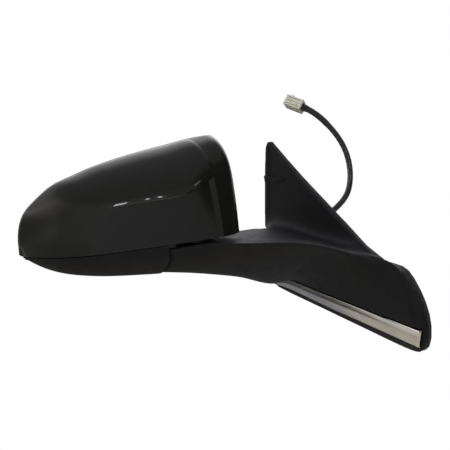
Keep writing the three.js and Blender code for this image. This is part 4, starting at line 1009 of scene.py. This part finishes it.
def biggest(ob):
    """Keeps the largest connected piece, so no crumbs are left by a cut."""
    bm = bmesh.new()
    bm.from_mesh(ob.data)
    bm.verts.ensure_lookup_table()
    seen = np.zeros(len(bm.verts), int)
    groups = []
    for v in bm.verts:
        if seen[v.index]:
            continue
        stack, part = [v], []
        seen[v.index] = 1
        while stack:
            x = stack.pop()
            part.append(x)
            for e in x.link_edges:
                y = e.other_vert(x)
                if not seen[y.index]:
                    seen[y.index] = 1
                    stack.append(y)
        groups.append(part)
    groups.sort(key=len)
    for g in groups[:-1]:
        bmesh.ops.delete(bm, geom=g, context="VERTS")
    bm.to_mesh(ob.data)
    bm.free()
    return ob


make_lower()


# ------------------------------------------------------------------ base cover
def curve_between(a, b, n, lift):
    """Points from a to b (b left out) with a smooth sideways lift."""
    t = np.linspace(0, 1, n, endpoint=False)[:, None]
    return a + (b - a) * t + lift * (4 * t * (1 - t))


def arm_rings(n=170, inset=0.0):
    C, RT, RB, E = (np.array([s[k] for s in ARM], float) for k in range(4))
    knots = chords(C, RT, E)
    at = np.linspace(0, 1, n)
    armness = np.array([1] * 6 + [0.5] + [0] * 6, float)
    C, RT, RB, E = (cubic(knots, a, at) for a in (C, RT, RB, E))
    g = np.clip(np.interp(at, knots, armness), 0, 1)
    rings = []
    for c, rt, rb, e, a in zip(C, RT, RB, E, g):
        m1 = lerp(c, e, 0.3) + np.array([0, -3.2 * a - 0.8, -1.6 * a])
        m2 = lerp(c, e, 0.65) + np.array([-1.5 * (1 - a), -3.8 * a, -2.6 * a - 0.5])
        under = np.array([e, lerp(e, rb, 0.5) + np.array([0, 0, -1.5]), rb])
        front = cubic([0, 0.3, 0.65, 1.0, 1.5, 2.0], np.array([c, m1, m2, *under]), np.linspace(0, 2, 41)[:-1])
        top = curve_between(rt, c, 24, np.array([0, 0, 1.7]))
        back = curve_between(rb, rt, 10, np.array([0, 1.2 * a, 0]))
        rings.append(np.vstack([top, front, back]))
    return np.array(rings)


def coarse_arm(i, t):
    C, RT, RB, E = (np.array(p, float) for p in ARM[i])
    a = 1 if i <= 5 else 0.5 if i == 6 else 0

    def mid(p, q, f, lift=(0, 0, 0)):
        return lerp(p, q, f) + np.array(lift)

    P = np.array([
        RT, mid(RT, C, 0.33, (0, 0, 1.3)), mid(RT, C, 0.66, (0, 0, 1.6)), C,
        mid(C, E, 0.3, (0, -3.2 * a - 0.8, -1.6 * a)), mid(C, E, 0.65, (-1.5 * (1 - a), -3.8 * a, -2.6 * a - 0.5)), E,
        mid(E, RB, 0.5, (0, 0, -1.5)), RB, mid(RB, RT, 0.5, (0, a * 1.2, 0)),
    ])
    n = len(P)
    nv = np.sum([np.cross(P[k], P[(k + 1) % n]) for k in range(n)], 0)
    nv /= np.linalg.norm(nv)
    out = []
    for k in range(n):
        e1, e2 = P[k] - P[k - 1], P[(k + 1) % n] - P[k]
        e1, e2 = e1 / np.linalg.norm(e1), e2 / np.linalg.norm(e2)
        n1, n2 = np.cross(nv, e1), np.cross(nv, e2)
        n1, n2 = n1 / np.linalg.norm(n1), n2 / np.linalg.norm(n2)
        b = (n1 + n2) / np.linalg.norm(n1 + n2)
        out.append(P[k] + b * (t / max(0.4, float(np.dot(b, n1)))))
    return np.array(out)


ABOVE_TRIM = TRIM_TOP[::-1] + [[73, -33], [76.2, -20]] + FLANGE[1:20]


def make_base():
    above = closed_smooth(ABOVE_TRIM, 700, 1.6)
    face = rounded_prism("base_shell", above, -13, -4.3, "x", r0=2.2, seg=6)
    flange = prism("flange", closed_smooth(FLANGE, 700, 1.6), -9, -4.3, "x")
    arm = loft("arm", arm_rings())
    # cut the arm to the disc round the pivot, the trim line and the door side
    disc = cone(0, -30, 60)
    outer_half = loft("arm2", arm_rings())
    boolean(outer_half, disc, op="INTERSECT")
    boolean(arm, half_space(-400, PIVOT[0]))
    below = TRIM_TOP + [[-220, -52], [-220, -120], [120, -120], [120, -40], [75.5, -33]]
    boolean(arm, prism("below", below, -60, -9, "x"), half_space(-4.3, 60, -300, 200, -150, 150))
    lip = rounded_prism("lip", closed_smooth([[76.4, 27], [76.9, 85], [76.3, 112], [75.6, 119.4], [73.6, 121.6], [70.9, 121.0], [69.6, 117.6], [69.2, 60], [69.2, 27]], 300, 1.2), -14.0, -10, "x", r0=0.6)
    join_into(face, flange, arm, outer_half, lip)
    remesh(face, 0.85)

    # large soft fillet where the sail's face runs into the arm and foot; the ridge of the arm fades along the foot
    crease = np.array([[76, 28.2], [50, 27.0], [5, 24.6], [-44, 21.6], [-95, 15.6], [-128, 10.0]])
    ridge = cubic(np.arange(13), np.array([s[0] for s in ARM], float), np.linspace(0, 12, 200))
    trim = np.array(TRIM_TOP, float)[::-1]

    rim = closed_smooth(ABOVE_TRIM, 110, 1.6)

    def guard(P):
        """Keeps smoothing away from the outline of the sail and foot."""
        return np.where(P[:, 0] < -17, 1.0, smoothstep(1.8, 8.0, inside_distance(P[:, 1:], rim)))

    def fillet(P):
        z = np.interp(P[:, 1], crease[::-1, 0], crease[::-1, 1])
        r = np.hypot((P[:, 0] + 17.0) * 0.9, P[:, 2] - z - 1.0)
        w = smoothstep(22.0, 7.0, r) * smoothstep(77, 70, P[:, 1]) * smoothstep(-143, -118, P[:, 1]) * (P[:, 0] < -6)
        i = np.clip(np.searchsorted(-ridge[:, 1], -P[:, 1]), 0, len(ridge) - 1)
        d = np.hypot(P[:, 0] - ridge[i, 0], P[:, 2] - ridge[i, 2])
        w = np.maximum(w, 0.5 * smoothstep(12, 3, d) * smoothstep(-30, -80, P[:, 1]) * smoothstep(-146, -128, P[:, 1]))
        return w * guard(P)

    def run_out(P):
        """The arm's front face runs out on to the foot."""
        t = np.interp(P[:, 1], trim[:, 0], trim[:, 1])
        w = smoothstep(2.0, 9.0, P[:, 2] - t) * smoothstep(24, 12, P[:, 2]) * smoothstep(-11.5, -13.0, P[:, 0]) * smoothstep(-46, -26, P[:, 0])
        return w * smoothstep(62, 46, P[:, 1]) * smoothstep(-145, -105, P[:, 1]) * guard(P)

    relax(face, 4)
    relax_far(face, 2.4, 500, run_out)
    relax(face, 500, fillet, 0.6)
    relax(face, 60, run_out)
    relax(face, 2)

    # finger ridge near the top of the sail: a thin upper edge, the underside falling away to a point
    hull = bmesh.new()
    for q in [(-15.3, 76.4, 85.3), (-15.6, 66, 85.3), (-15.1, 55, 85.2), (-13.9, 41.5, 84.9), (-15.2, 76.4, 84.7), (-15.5, 66, 84.7), (-15.0, 55, 84.7),
              (-13.4, 76.4, 86.1), (-13.4, 42, 85.2), (-13.7, 76.4, 78.2), (-13.7, 60, 78.5), (-13.7, 50, 81.9), (-13.7, 42, 84.4), (-12, 76, 86), (-12, 42, 85), (-12, 76, 78.4), (-12, 60, 78.8)]:
        hull.verts.new(Vector(q) / 1000)
    bmesh.ops.convex_hull(hull, input=hull.verts[:])
    me = bpy.data.meshes.new("ridge")
    hull.to_mesh(me)
    hull.free()
    ledge = bpy.data.objects.new("ridge", me)
    bpy.context.scene.collection.objects.link(ledge)
    shade(ledge)
    boolean(face, ledge, op="UNION")

    arm_in = loft("arm_in", [coarse_arm(i, 3.2) for i in range(len(ARM))])
    inner_disc = cone(-3, -30, 60)
    arm_in2 = loft("arm_in2", [coarse_arm(i, 3.2) for i in range(len(ARM))])
    boolean(arm_in2, inner_disc, op="INTERSECT")
    boolean(arm_in, half_space(-400, PIVOT[0] - 0.01))
    slab = prism("slab", inset_poly(below, -2.6), -60, -9, "x")
    boolean(slab, half_space(-6.4, 60, -300, 200, -150, 150))
    boolean(arm_in, slab, half_space(-60, 60, -300, -12, -150, 150))
    above_in = inset_poly(ABOVE_TRIM, 3.2)
    pocket_a = prism("pa", inset_poly(FLANGE, 7.5), -7, 1, "x")
    pocket_b = prism("pb", above_in, -10.4, -6, "x")
    boolean(face, arm_in)
    boolean(face, arm_in2)
    boolean(face, pocket_b)
    boolean(face, pocket_a)
    hole = loft("hole", [[[PIVOT[0] + 19.2 * math.cos(a), PIVOT[1] + 19.2 * math.sin(a), z] for a in np.linspace(0, 2 * math.pi, 96, endpoint=False)] for z in (12, 52)])
    boolean(face, hole)
    biggest(face)
    shade(face, 38)
    return dress(face, "matte", "base", "base_cover")


make_base()


# ------------------------------------------------------------------ bright moulding and its rubber lip
def strip(name, top, low, x0, x1, n, m, profile, r=14, end_round=1.2):
    """Strip between two long edges, at least n x m, with its outer face shaped by profile(q), q from low to top edge."""
    top, low = resample(np.asarray(top, float), n, False), resample(np.asarray(low, float), n, False)
    q = np.linspace(0, 1, m)
    rows = []
    for k in range(n):
        y = lerp(low[k, 0], top[k, 0], q)
        z = lerp(low[k, 1], top[k, 1], q)
        x = x0 + (x1 - x0) * profile(q)
        e = min(k, n - 1 - k) / max(1, n - 1)
        fade = float(smoothstep(0, 0.008, e)) if end_round else 1.0
        x = x0 + (x - x0) * (0.55 + 0.45 * fade)
        front = np.stack([x, y, z], 1)
        back = np.stack([np.full(m, x0), y, z], 1)[::-1]
        rows.append(np.vstack([front, back]))
    return loft(name, rows, angle=40)


def make_trim():
    top = [[y, z - 0.45] for y, z in TRIM_TOP]
    low = [[y, z - 0.5 - 1.5 * float(smoothstep(40.0, -70.0, y))] for y, z in TRIM_LOW[::-1]]
    # both edges run from the rear tip to the front end
    top_c = cubic(chords(top), np.array(top), np.linspace(0, 1, 200))
    low_c = cubic(chords(low), np.array(low), np.linspace(0, 1, 200))

    def crown(q):
        edge = np.sqrt(np.clip(1 - (np.clip(np.abs(2 * q - 1) - 0.78, 0, 1) / 0.22) ** 2, 0, 1))
        return 0.30 * edge + 0.70 * edge * (0.72 + 0.28 * (1 - (2 * q - 1) ** 2)) + 0.0

    ob = strip("bright_strip", top_c, low_c, -9.35, -14.0, 260, 33, crown)
    dress(ob, "chrome", "base", "belt_trim")
    a = np.array([[y, z - 0.45] for y, z in low])
    b = np.array([[56, -39.4], [34.5, -43.4], [-14.9, -50.8], [-72.3, -59.6], [-94.7, -63], [-156, -71.6], [-166, -71.2]], float)
    a_c = cubic(chords(a), a, np.linspace(0, 1, 200))
    b_c = cubic(chords(b), b, np.linspace(0, 1, 200))

    def lip(q):
        body = 0.62 + 0.0 * q
        bead = 0.38 * np.exp(-((q - 0.18) / 0.13) ** 2)
        edge = np.sqrt(np.clip(1 - (np.clip(np.abs(2 * q - 1) - 0.84, 0, 1) / 0.16) ** 2, 0, 1))
        return (body + bead) * edge

    ob = strip("seal_lip", a_c, b_c, -9.35, -12.2, 220, 25, lip)
    dress(ob, "rubber", "base", "belt_trim_seal")


make_trim()


# ------------------------------------------------------------------ gasket
def make_gasket():
    o = closed_smooth(GASKET, 900, 1.4)
    i = offset2(o, 5.0)
    ob = ring_solid("gasket_ring", o, i, -4, 1, "x", 0.8, angle=45)
    dress(ob, "rubber", "base", "base_gasket")


make_gasket()


# ------------------------------------------------------------------ head frame: bezel, bowl and pivot floor
def make_bowl():
    """The bezel and the bowl behind it stay the CAD frame, rounded at the edges."""
    refine("head_frame", "black", bevel=0.45)


make_bowl()


# ------------------------------------------------------------------ mirror glass, holder and heater
def make_glass():
    o = closed_smooth(GLASS, 700, 2.2)
    g = rounded_prism("glass_pane", o, GLASS_D, GLASS_D + 2.0, "y", r0=0.8, r1=0.3, seg=4, angle=30, local=True)
    dress(g, "mirror", "glass", "mirror_glass")
    refine("glass_holder", "black", bevel=0.4)
    refine("heater_pad", "foil", bevel=0.1)


make_glass()


# ------------------------------------------------------------------ small parts carried over with rounded edges
refine("swivel_bracket", "cast", bevel=0.6)
refine("base_bracket", "cast", bevel=0.7)
for k, slot in (("detent_ring_upper", "black"), ("detent_ring_lower", "black"), ("spring_cap", "steel")):
    refine(k, slot, bevel=0.25)
refine("pivot_post", "zinc", bevel=0.4)
refine("actuator_cover", "grey", bevel=0.4)
refine("actuator_case", "grey", bevel=0.6)
refine("tilt_motor", "steel", bevel=0.3)
refine("pan_motor", "steel", bevel=0.3)
for k in ("tilt_wheel", "pan_wheel", "tilt_plunger", "pan_plunger", "gimbal_ring"):
    refine(k, "white", bevel=0.2)
for k in ("swivel_screw_1", "swivel_screw_2", "swivel_screw_3", "actuator_screw_1", "actuator_screw_2", "actuator_screw_3", "cover_screw_1", "cover_screw_2"):
    refine(k, "zinc", bevel=0.25)
refine("locating_pin", "steel", bevel=0.3)
refine("sail_clip", "natural", bevel=0.3)
refine("harness_grommet", "rubber", bevel=0.5)


def make_spring():
    ps, pd = to_head(np.array([PIVOT[0], PIVOT[1], 0]))[:2]
    t = np.linspace(0, 1, 420)
    # closed end coils
    z = 46.6 + 13.3 * np.clip((t - 0.06) / 0.88, 0, 1)
    P = np.stack([ps + 10 * np.cos(2 * math.pi * 5.0 * t), pd + 10 * np.sin(2 * math.pi * 5.0 * t), z], 1)
    ob = tube("fold_coil", P, 1.1, sides=14, angle=50, local=True)
    dress(ob, "steel", "head", "fold_spring")


make_spring()


def make_studs():
    for name, (y, z) in {"stud_upper": (46, 50), "stud_rear": (40, -14), "stud_front": (-66, -20)}.items():
        # threaded shank: a fine helix cut by the radius function
        pitch, x0, x1 = 1.0, -7.7, 20.0
        n = int((x1 - x0) * 10)
        xs = np.linspace(x0, x1, n)
        P = np.stack([xs, np.full(n, y), np.full(n, z)], 1)

        def radius(i, a, xs=xs, x1=x1):
            x = xs[np.clip(i, 0, len(xs) - 1)]
            ph = (x / pitch - a / (2 * math.pi)) % 1.0
            tri = np.abs(2 * ph - 1)
            depth = 0.5 * smoothstep(0.15, 0.85, tri)
            on = smoothstep(0.2, 1.2, x)
            r = 3.0 - depth * on
            return np.minimum(r, 1.9 + (x1 - x) * 1.0)

        shank = tube(name + ".thread", P, radius, sides=28, angle=60)
        a = np.linspace(0, 2 * math.pi, 6, endpoint=False)
        hexa = np.stack([y + 6 * np.cos(a), z + 6 * np.sin(a)], 1)
        hexa = closed_smooth(hexa, 72, 0.5)
        head = rounded_prism(name + ".head", hexa, -9.8, -7.6, "x", r0=0.6, seg=3)
        dress(shank, "zinc", "base", name)
        dress(head, "zinc", "base")


make_studs()


# ------------------------------------------------------------------ cables
def centripetal(points, n):
    p = np.asarray(points, float)
    return cubic(chords(p), p, np.linspace(0, 1, n))


def make_cables():
    P = centripetal(CABLE, 420)
    L = np.concatenate([[0], np.cumsum(np.linalg.norm(np.diff(P, axis=0), axis=1))])
    total = L[-1]

    def radius(i, a):
        s = L[np.clip(i, 0, len(L) - 1)]
        left = total - s
        taped = smoothstep(40, 36, left)  # wrapped part next to the plug
        lap = ((s / 7.5 - a / (2 * math.pi)) % 1.0)
        r = CABLE_R - 0.12 + 0.10 * np.sin(s * 0.9 + 1.3) * 0.3
        r = r + taped * (0.22 + 0.16 * smoothstep(0.0, 0.12, lap) * (1 - 0.5 * lap))
        flare = smoothstep(9, 1.5, left)
        return r + flare * 0.7

    ob = tube("door_lead", P, radius, sides=36, angle=55)
    dress(ob, "cable", "base", "harness_door", slot="rubber")
    ps, pd = to_head(np.array([PIVOT[0], PIVOT[1], 0]))[:2]
    Q = centripetal([[ps, pd, 68.5], [ps + 5, pd + 0.5, 76], [64, 54, 79], [74, 60, 74], [80, 61, 66], [84, 57.5, 60], [84, 50.6, 57]], 160)
    ob = tube("head_lead", Q, lambda i, a: 2.15 + 0.08 * np.sin(i * 0.55 + a), sides=24, angle=55, local=True)
    dress(ob, "tape", "head", "head_harness", slot="rubber")


make_cables()


# ------------------------------------------------------------------ plug
def plug_frame():
    a = np.array([27, 58.2, 162.8])
    d = np.array([-0.36, 0.885, 0.3])
    d /= np.linalg.norm(d)
    up = np.array([0.5, 0, 0.87])
    up = up - d * np.dot(up, d)
    up /= np.linalg.norm(up)
    return a, d, np.cross(up, d), up


def make_plug():
    for node, mat, bev in (("connector_housing", "natural", 0.45), ("connector_insert", "grey", 0.2), ("connector_latch", "natural", 0.35)):
        refine(node, mat, bevel=bev)
    a, d, side, up = plug_frame()
    housing = bpy.data.objects["connector_housing.fine"]

    def place(V):
        V = np.asarray(V, float)
        return a + V[:, :1] * d + V[:, 1:2] * side + V[:, 2:] * up

    # moulded grooves along the housing, and small cavity windows behind the terminals
    wide, thick = 8, 6
    cuts = [(4.2, 18.5, y - 0.4, y + 0.4, thick - 0.5, thick + 2) for y in (-5.2, 5.2)]
    cuts += [(3.0, 19.0, y - 0.35, y + 0.35, -thick - 2, -thick + 0.5) for y in (-6.9, -2.25, 2.25, 6.9)]
    for sg in (1, -1):
        y0, y1 = sorted((sg * (wide - 0.75), sg * (wide + 2)))
        cuts += [(2.6, 18.2, y0, y1, z - 0.45, z + 0.45) for z in (-3.9, 0.1, 3.7)]
        cuts += [(3.6, 5.2, y0, y1, -2.7, -1.5), (6.6, 7.6, y0, y1, -2.6, -1.6)]
    blocks = []
    for k, c in enumerate(cuts):
        V, F = box_verts(*c)
        blocks.append(build(f"groove_{k}", place(V), F))
    boolean(housing, *blocks)
    shade(housing, 32)

    # wire leads fanning into the back of the plug
    for k, (y, z) in enumerate([(-2.2, -1.4), (0.0, -1.6), (2.2, -1.4), (-2.2, 1.2), (0.0, 1.5), (2.2, 1.2)]):
        P = np.array([[-4.5, y * 0.45, z * 0.45], [-1.5, y * 0.8, z * 0.85], [1.5, y * 1.15, z * 1.15], [5.5, y * 1.15, z * 1.15]])
        P = cubic(np.arange(4), P, np.linspace(0, 3, 24))
        ob = tube(f"plug_wire_{k + 1}", place(P), 0.8, sides=12, angle=60)
        dress(ob, "cable", "base", slot="rubber")


make_plug()

# ------------------------------------------------------------------ stage, light and camera
CAMERA = Vector((-0.929056, -1.021629, 0.255152))
TARGET = Vector((-0.077742, 0.068003, 0.036144))


def look_at(ob, target):
    d = Vector(target) - ob.location
    ob.rotation_mode = "QUATERNION"
    ob.rotation_quaternion = d.to_track_quat("-Z", "Y")


cam = bpy.data.objects.new("camera", bpy.data.cameras.new("camera"))
bpy.context.scene.collection.objects.link(cam)
cam.location = CAMERA
look_at(cam, TARGET)
cam.data.lens = 101
cam.data.sensor_width = 36
cam.data.clip_start, cam.data.clip_end = 0.01, 50
bpy.context.scene.camera = cam

HEADING = math.atan2(TARGET.y - CAMERA.y, TARGET.x - CAMERA.x)


def area(name, azimuth, elevation, distance, size, power, colour=(1, 1, 1), glossy=False, aim=(-0.13, 0.0, 0.05)):
    """Softbox; azimuth is measured from the camera's heading, 180 is behind the camera."""
    a, e = HEADING + math.radians(azimuth), math.radians(elevation)
    l = bpy.data.lights.new(name, "AREA")
    l.shape = "SQUARE"
    l.size = size
    l.energy = power
    l.color = colour
    o = bpy.data.objects.new(name, l)
    bpy.context.scene.collection.objects.link(o)
    o.location = Vector(aim) + distance * Vector((math.cos(a) * math.cos(e), math.sin(a) * math.cos(e), math.sin(e)))
    look_at(o, aim)
    o.visible_glossy = glossy
    o.visible_camera = False
    return o


area("top_box", 200, 72, 1.6, 1.2, 13)
area("left_fill", 110, 35, 1.8, 1.0, 4)
area("front_fill", 180, 20, 1.9, 0.9, 4)
area("right_fill", -110, 30, 1.8, 1.0, 4)
area("back_fill", 0, 25, 1.9, 1.2, 5)


def make_world():
    w = bpy.data.worlds.new("studio")
    bpy.context.scene.world = w
    w.use_nodes = True
    t = w.node_tree
    t.nodes.clear()
    N = t.nodes.new
    L = t.links.new
    out = N("ShaderNodeOutputWorld")
    geo = N("ShaderNodeTexCoord")

    def m(op, a, b=None, c=None):
        n = N("ShaderNodeMath")
        n.operation = op
        for k, v in enumerate((a, b, c)):
            if v is None:
                continue
            if isinstance(v, (int, float)):
                n.inputs[k].default_value = v
            else:
                L(v, n.inputs[k])
        return n.outputs[0]

    def ss(x, a, b):
        n = N("ShaderNodeMapRange")
        n.interpolation_type = "SMOOTHSTEP"
        for k, v in zip(("From Min", "From Max", "To Min", "To Max"), (a, b, 0, 1)):
            n.inputs[k].default_value = v
        L(x, n.inputs["Value"])
        return n.outputs[0]

    sep = N("ShaderNodeSeparateXYZ")
    L(geo.outputs["Generated"], sep.inputs[0])
    x, y, z = sep.outputs
    c, s = math.cos(HEADING), math.sin(HEADING)
    ahead = m("ADD", m("MULTIPLY", x, c), m("MULTIPLY", y, s))
    left = m("ADD", m("MULTIPLY", x, -s), m("MULTIPLY", y, c))
    elev = m("ARCTAN2", z, m("SQRT", m("ADD", m("MULTIPLY", x, x), m("MULTIPLY", y, y))))
    azim = m("ARCTAN2", left, ahead)  # 0 straight ahead of the camera
    rear = m("ARCTAN2", m("MULTIPLY", left, -1.0), m("MULTIPLY", ahead, -1.0))  # 0 straight behind it

    def band(v, a0, a1, b1, b0):
        return m("MULTIPLY", ss(v, a0, a1), m("SUBTRACT", 1.0, ss(v, b1, b0)))

    D = math.radians

    def curve(v, points):
        """Piecewise linear function of an angle in degrees."""
        n = N("ShaderNodeMapRange")
        lo, hi = points[0][0], points[-1][0]
        for k, val in zip(("From Min", "From Max", "To Min", "To Max"), (D(lo), D(hi), 0, 1)):
            n.inputs[k].default_value = val
        L(v, n.inputs["Value"])
        c = N("ShaderNodeFloatCurve")
        cv = c.mapping.curves[0]
        top = max(p[1] for p in points)
        pts = [((p[0] - lo) / (hi - lo), p[1] / top) for p in points]
        cv.points[0].location = pts[0]
        cv.points[1].location = pts[-1]
        for q in pts[1:-1]:
            cv.points.new(*q)
        for q in cv.points:
            q.handle_type = "VECTOR"
        c.mapping.update()
        L(n.outputs[0], c.inputs["Value"])
        return m("MULTIPLY", c.outputs[0], top)

    backdrop = m("MULTIPLY", curve(elev, BACK_ELEV), curve(azim, BACK_AZIM))
    # low on the left the workshop is dim
    dim = m("MULTIPLY", ss(azim, D(48), D(66)), m("SUBTRACT", 1.0, ss(elev, D(8), D(22))))
    dim = m("MULTIPLY", dim, m("SUBTRACT", 0.94, m("MULTIPLY", ss(azim, D(84.4), D(85.8)), 0.72)))
    backdrop = m("MULTIPLY", backdrop, m("SUBTRACT", 1.0, dim))
    far = m("MULTIPLY", ss(azim, D(90), D(101)), m("SUBTRACT", 1.0, ss(elev, D(12), D(46))))
    backdrop = m("MULTIPLY", backdrop, m("SUBTRACT", 1.0, m("MULTIPLY", far, 0.85)))
    up = ss(elev, D(52), D(68))
    side = m("MULTIPLY", curve(azim, ROOM_AZIM), m("SUBTRACT", 1.0, up))
    room = m("ADD", side, m("MULTIPLY", up, DOME))
    room = m("MULTIPLY", room, m("SUBTRACT", 1.0, m("MULTIPLY", dim, 0.9)))
    strips = None
    for a0, a1, e0, e1, soft, lv in STRIPS:
        s1 = m("MULTIPLY", band(rear, D(a0), D(a0 + soft), D(a1 - soft), D(a1)), band(elev, D(e0), D(e0 + soft), D(e1 - soft), D(e1)))
        s1 = m("MULTIPLY", s1, lv)
        strips = s1 if strips is None else m("ADD", strips, s1)
    total = m("ADD", m("ADD", backdrop, room), strips)
    bg = N("ShaderNodeBackground")
    L(total, bg.inputs["Strength"])
    warm = ss(azim, D(77), D(86))
    tint = N("ShaderNodeMix")
    tint.data_type = "RGBA"
    L(warm, tint.inputs[0])
    tint.inputs[6].default_value = (0.985, 0.99, 1.02, 1)
    tint.inputs[7].default_value = (1.03, 1.0, 0.945, 1)
    L(tint.outputs[2], bg.inputs["Color"])
    dif = N("ShaderNodeBackground")
    dif.inputs["Color"].default_value = (0.97, 0.985, 1.0, 1)
    dif.inputs["Strength"].default_value = AMBIENT
    white = N("ShaderNodeBackground")
    white.inputs["Color"].default_value = (1, 1, 1, 1)
    lp = N("ShaderNodeLightPath")
    mix1, mix2 = N("ShaderNodeMixShader"), N("ShaderNodeMixShader")
    L(lp.outputs["Is Diffuse Ray"], mix1.inputs[0])
    L(bg.outputs[0], mix1.inputs[1])
    L(dif.outputs[0], mix1.inputs[2])
    L(lp.outputs["Is Camera Ray"], mix2.inputs[0])
    L(mix1.outputs[0], mix2.inputs[1])
    L(white.outputs[0], mix2.inputs[2])
    L(mix2.outputs[0], out.inputs[0])


AMBIENT = 0.32
DOME = 0.17
# what polished surfaces see, by elevation and by azimuth from the camera's heading (positive to its left)
BACK_ELEV = [(-90, 0.05), (-20, 0.4), (-4, 0.7), (10, 0.9), (22, 1.6), (34, 1.5), (42, 0.8), (50, 0.4), (57, 0.03), (90, 0.0)]
BACK_AZIM = [(-180, 0.0), (-64, 0.0), (-52, 1.0), (104, 1.0), (116, 0.35), (132, 0.0), (180, 0.0)]
ROOM_AZIM = [(-180, 0.32), (-140, 0.27), (-114, 0.2), (-102, 0.01), (-62, 0.01), (-52, 0.2), (40, 0.22), (90, 0.26), (130, 0.26), (180, 0.32)]
STRIPS = [(5, 15, 44, 52, 1, 9.0), (28, 31.5, 47, 53, 0.8, 8.0), (36.5, 40, 47, 53, 0.8, 8.0), (69.5, 71.5, 47, 51.5, 0.4, 5.0), (73, 74.5, 47, 51.5, 0.4, 5.0), (76, 77.5, 47, 51.5, 0.4, 5.0), (79, 80.5, 47, 51.5, 0.4, 4.0), (104, 105.5, 0, 60, 0.5, 0.3)]
make_world()


def make_floor():
    me = bpy.data.meshes.new("floor")
    r = 1.75
    n = 96
    V = [(r * math.cos(2 * math.pi * k / n), r * math.sin(2 * math.pi * k / n), -0.36) for k in range(n)]
    me.from_pydata(V, [], [list(range(n))])
    ob = bpy.data.objects.new("floor", me)
    bpy.context.scene.collection.objects.link(ob)
    m = bpy.data.materials.new("floor")
    m.use_nodes = True
    t = m.node_tree
    t.nodes.clear()
    out = t.nodes.new("ShaderNodeOutputMaterial")
    lp = t.nodes.new("ShaderNodeLightPath")
    em = t.nodes.new("ShaderNodeEmission")
    em.inputs[0].default_value = (1, 1, 1, 1)
    em.inputs[1].default_value = 1.0
    di = t.nodes.new("ShaderNodeBsdfDiffuse")
    # the floor sheet is a cool grey, with a warmer, lighter sheet beside it
    co = t.nodes.new("ShaderNodeTexCoord")
    sep = t.nodes.new("ShaderNodeSeparateXYZ")
    t.links.new(co.outputs["Object"], sep.inputs[0])
    side = HEADING + math.radians(84.5)
    parts = []
    for axis, k in (("X", -math.sin(side)), ("Y", math.cos(side))):
        mul = t.nodes.new("ShaderNodeMath")
        mul.operation = "MULTIPLY"
        mul.inputs[1].default_value = k
        t.links.new(sep.outputs[axis], mul.inputs[0])
        parts.append(mul.outputs[0])
    add = t.nodes.new("ShaderNodeMath")
    add.operation = "ADD"
    t.links.new(parts[0], add.inputs[0])
    t.links.new(parts[1], add.inputs[1])
    step = t.nodes.new("ShaderNodeMapRange")
    step.interpolation_type = "SMOOTHSTEP"
    for key, v in zip(("From Min", "From Max", "To Min", "To Max"), (-0.09, 0.0, 0, 1)):
        step.inputs[key].default_value = v
    t.links.new(add.outputs[0], step.inputs["Value"])
    tone = t.nodes.new("ShaderNodeMix")
    tone.data_type = "RGBA"
    t.links.new(step.outputs[0], tone.inputs[0])
    tone.inputs[6].default_value = (0.36, 0.365, 0.40, 1)
    tone.inputs[7].default_value = (0.70, 0.65, 0.57, 1)
    t.links.new(tone.outputs[2], di.inputs[0])
    mx = t.nodes.new("ShaderNodeMixShader")
    t.links.new(lp.outputs["Is Camera Ray"], mx.inputs[0])
    t.links.new(di.outputs[0], mx.inputs[1])
    t.links.new(em.outputs[0], mx.inputs[2])
    # see-through from below, so the underside can be looked at
    geo = t.nodes.new("ShaderNodeNewGeometry")
    clear = t.nodes.new("ShaderNodeBsdfTransparent")
    both = t.nodes.new("ShaderNodeMixShader")
    t.links.new(geo.outputs["Backfacing"], both.inputs[0])
    t.links.new(mx.outputs[0], both.inputs[1])
    t.links.new(clear.outputs[0], both.inputs[2])
    t.links.new(both.outputs[0], out.inputs[0])
    me.materials.append(m)


make_floor()
bpy.context.scene.view_settings.view_transform = "Standard"
bpy.context.scene.view_settings.look = "None"
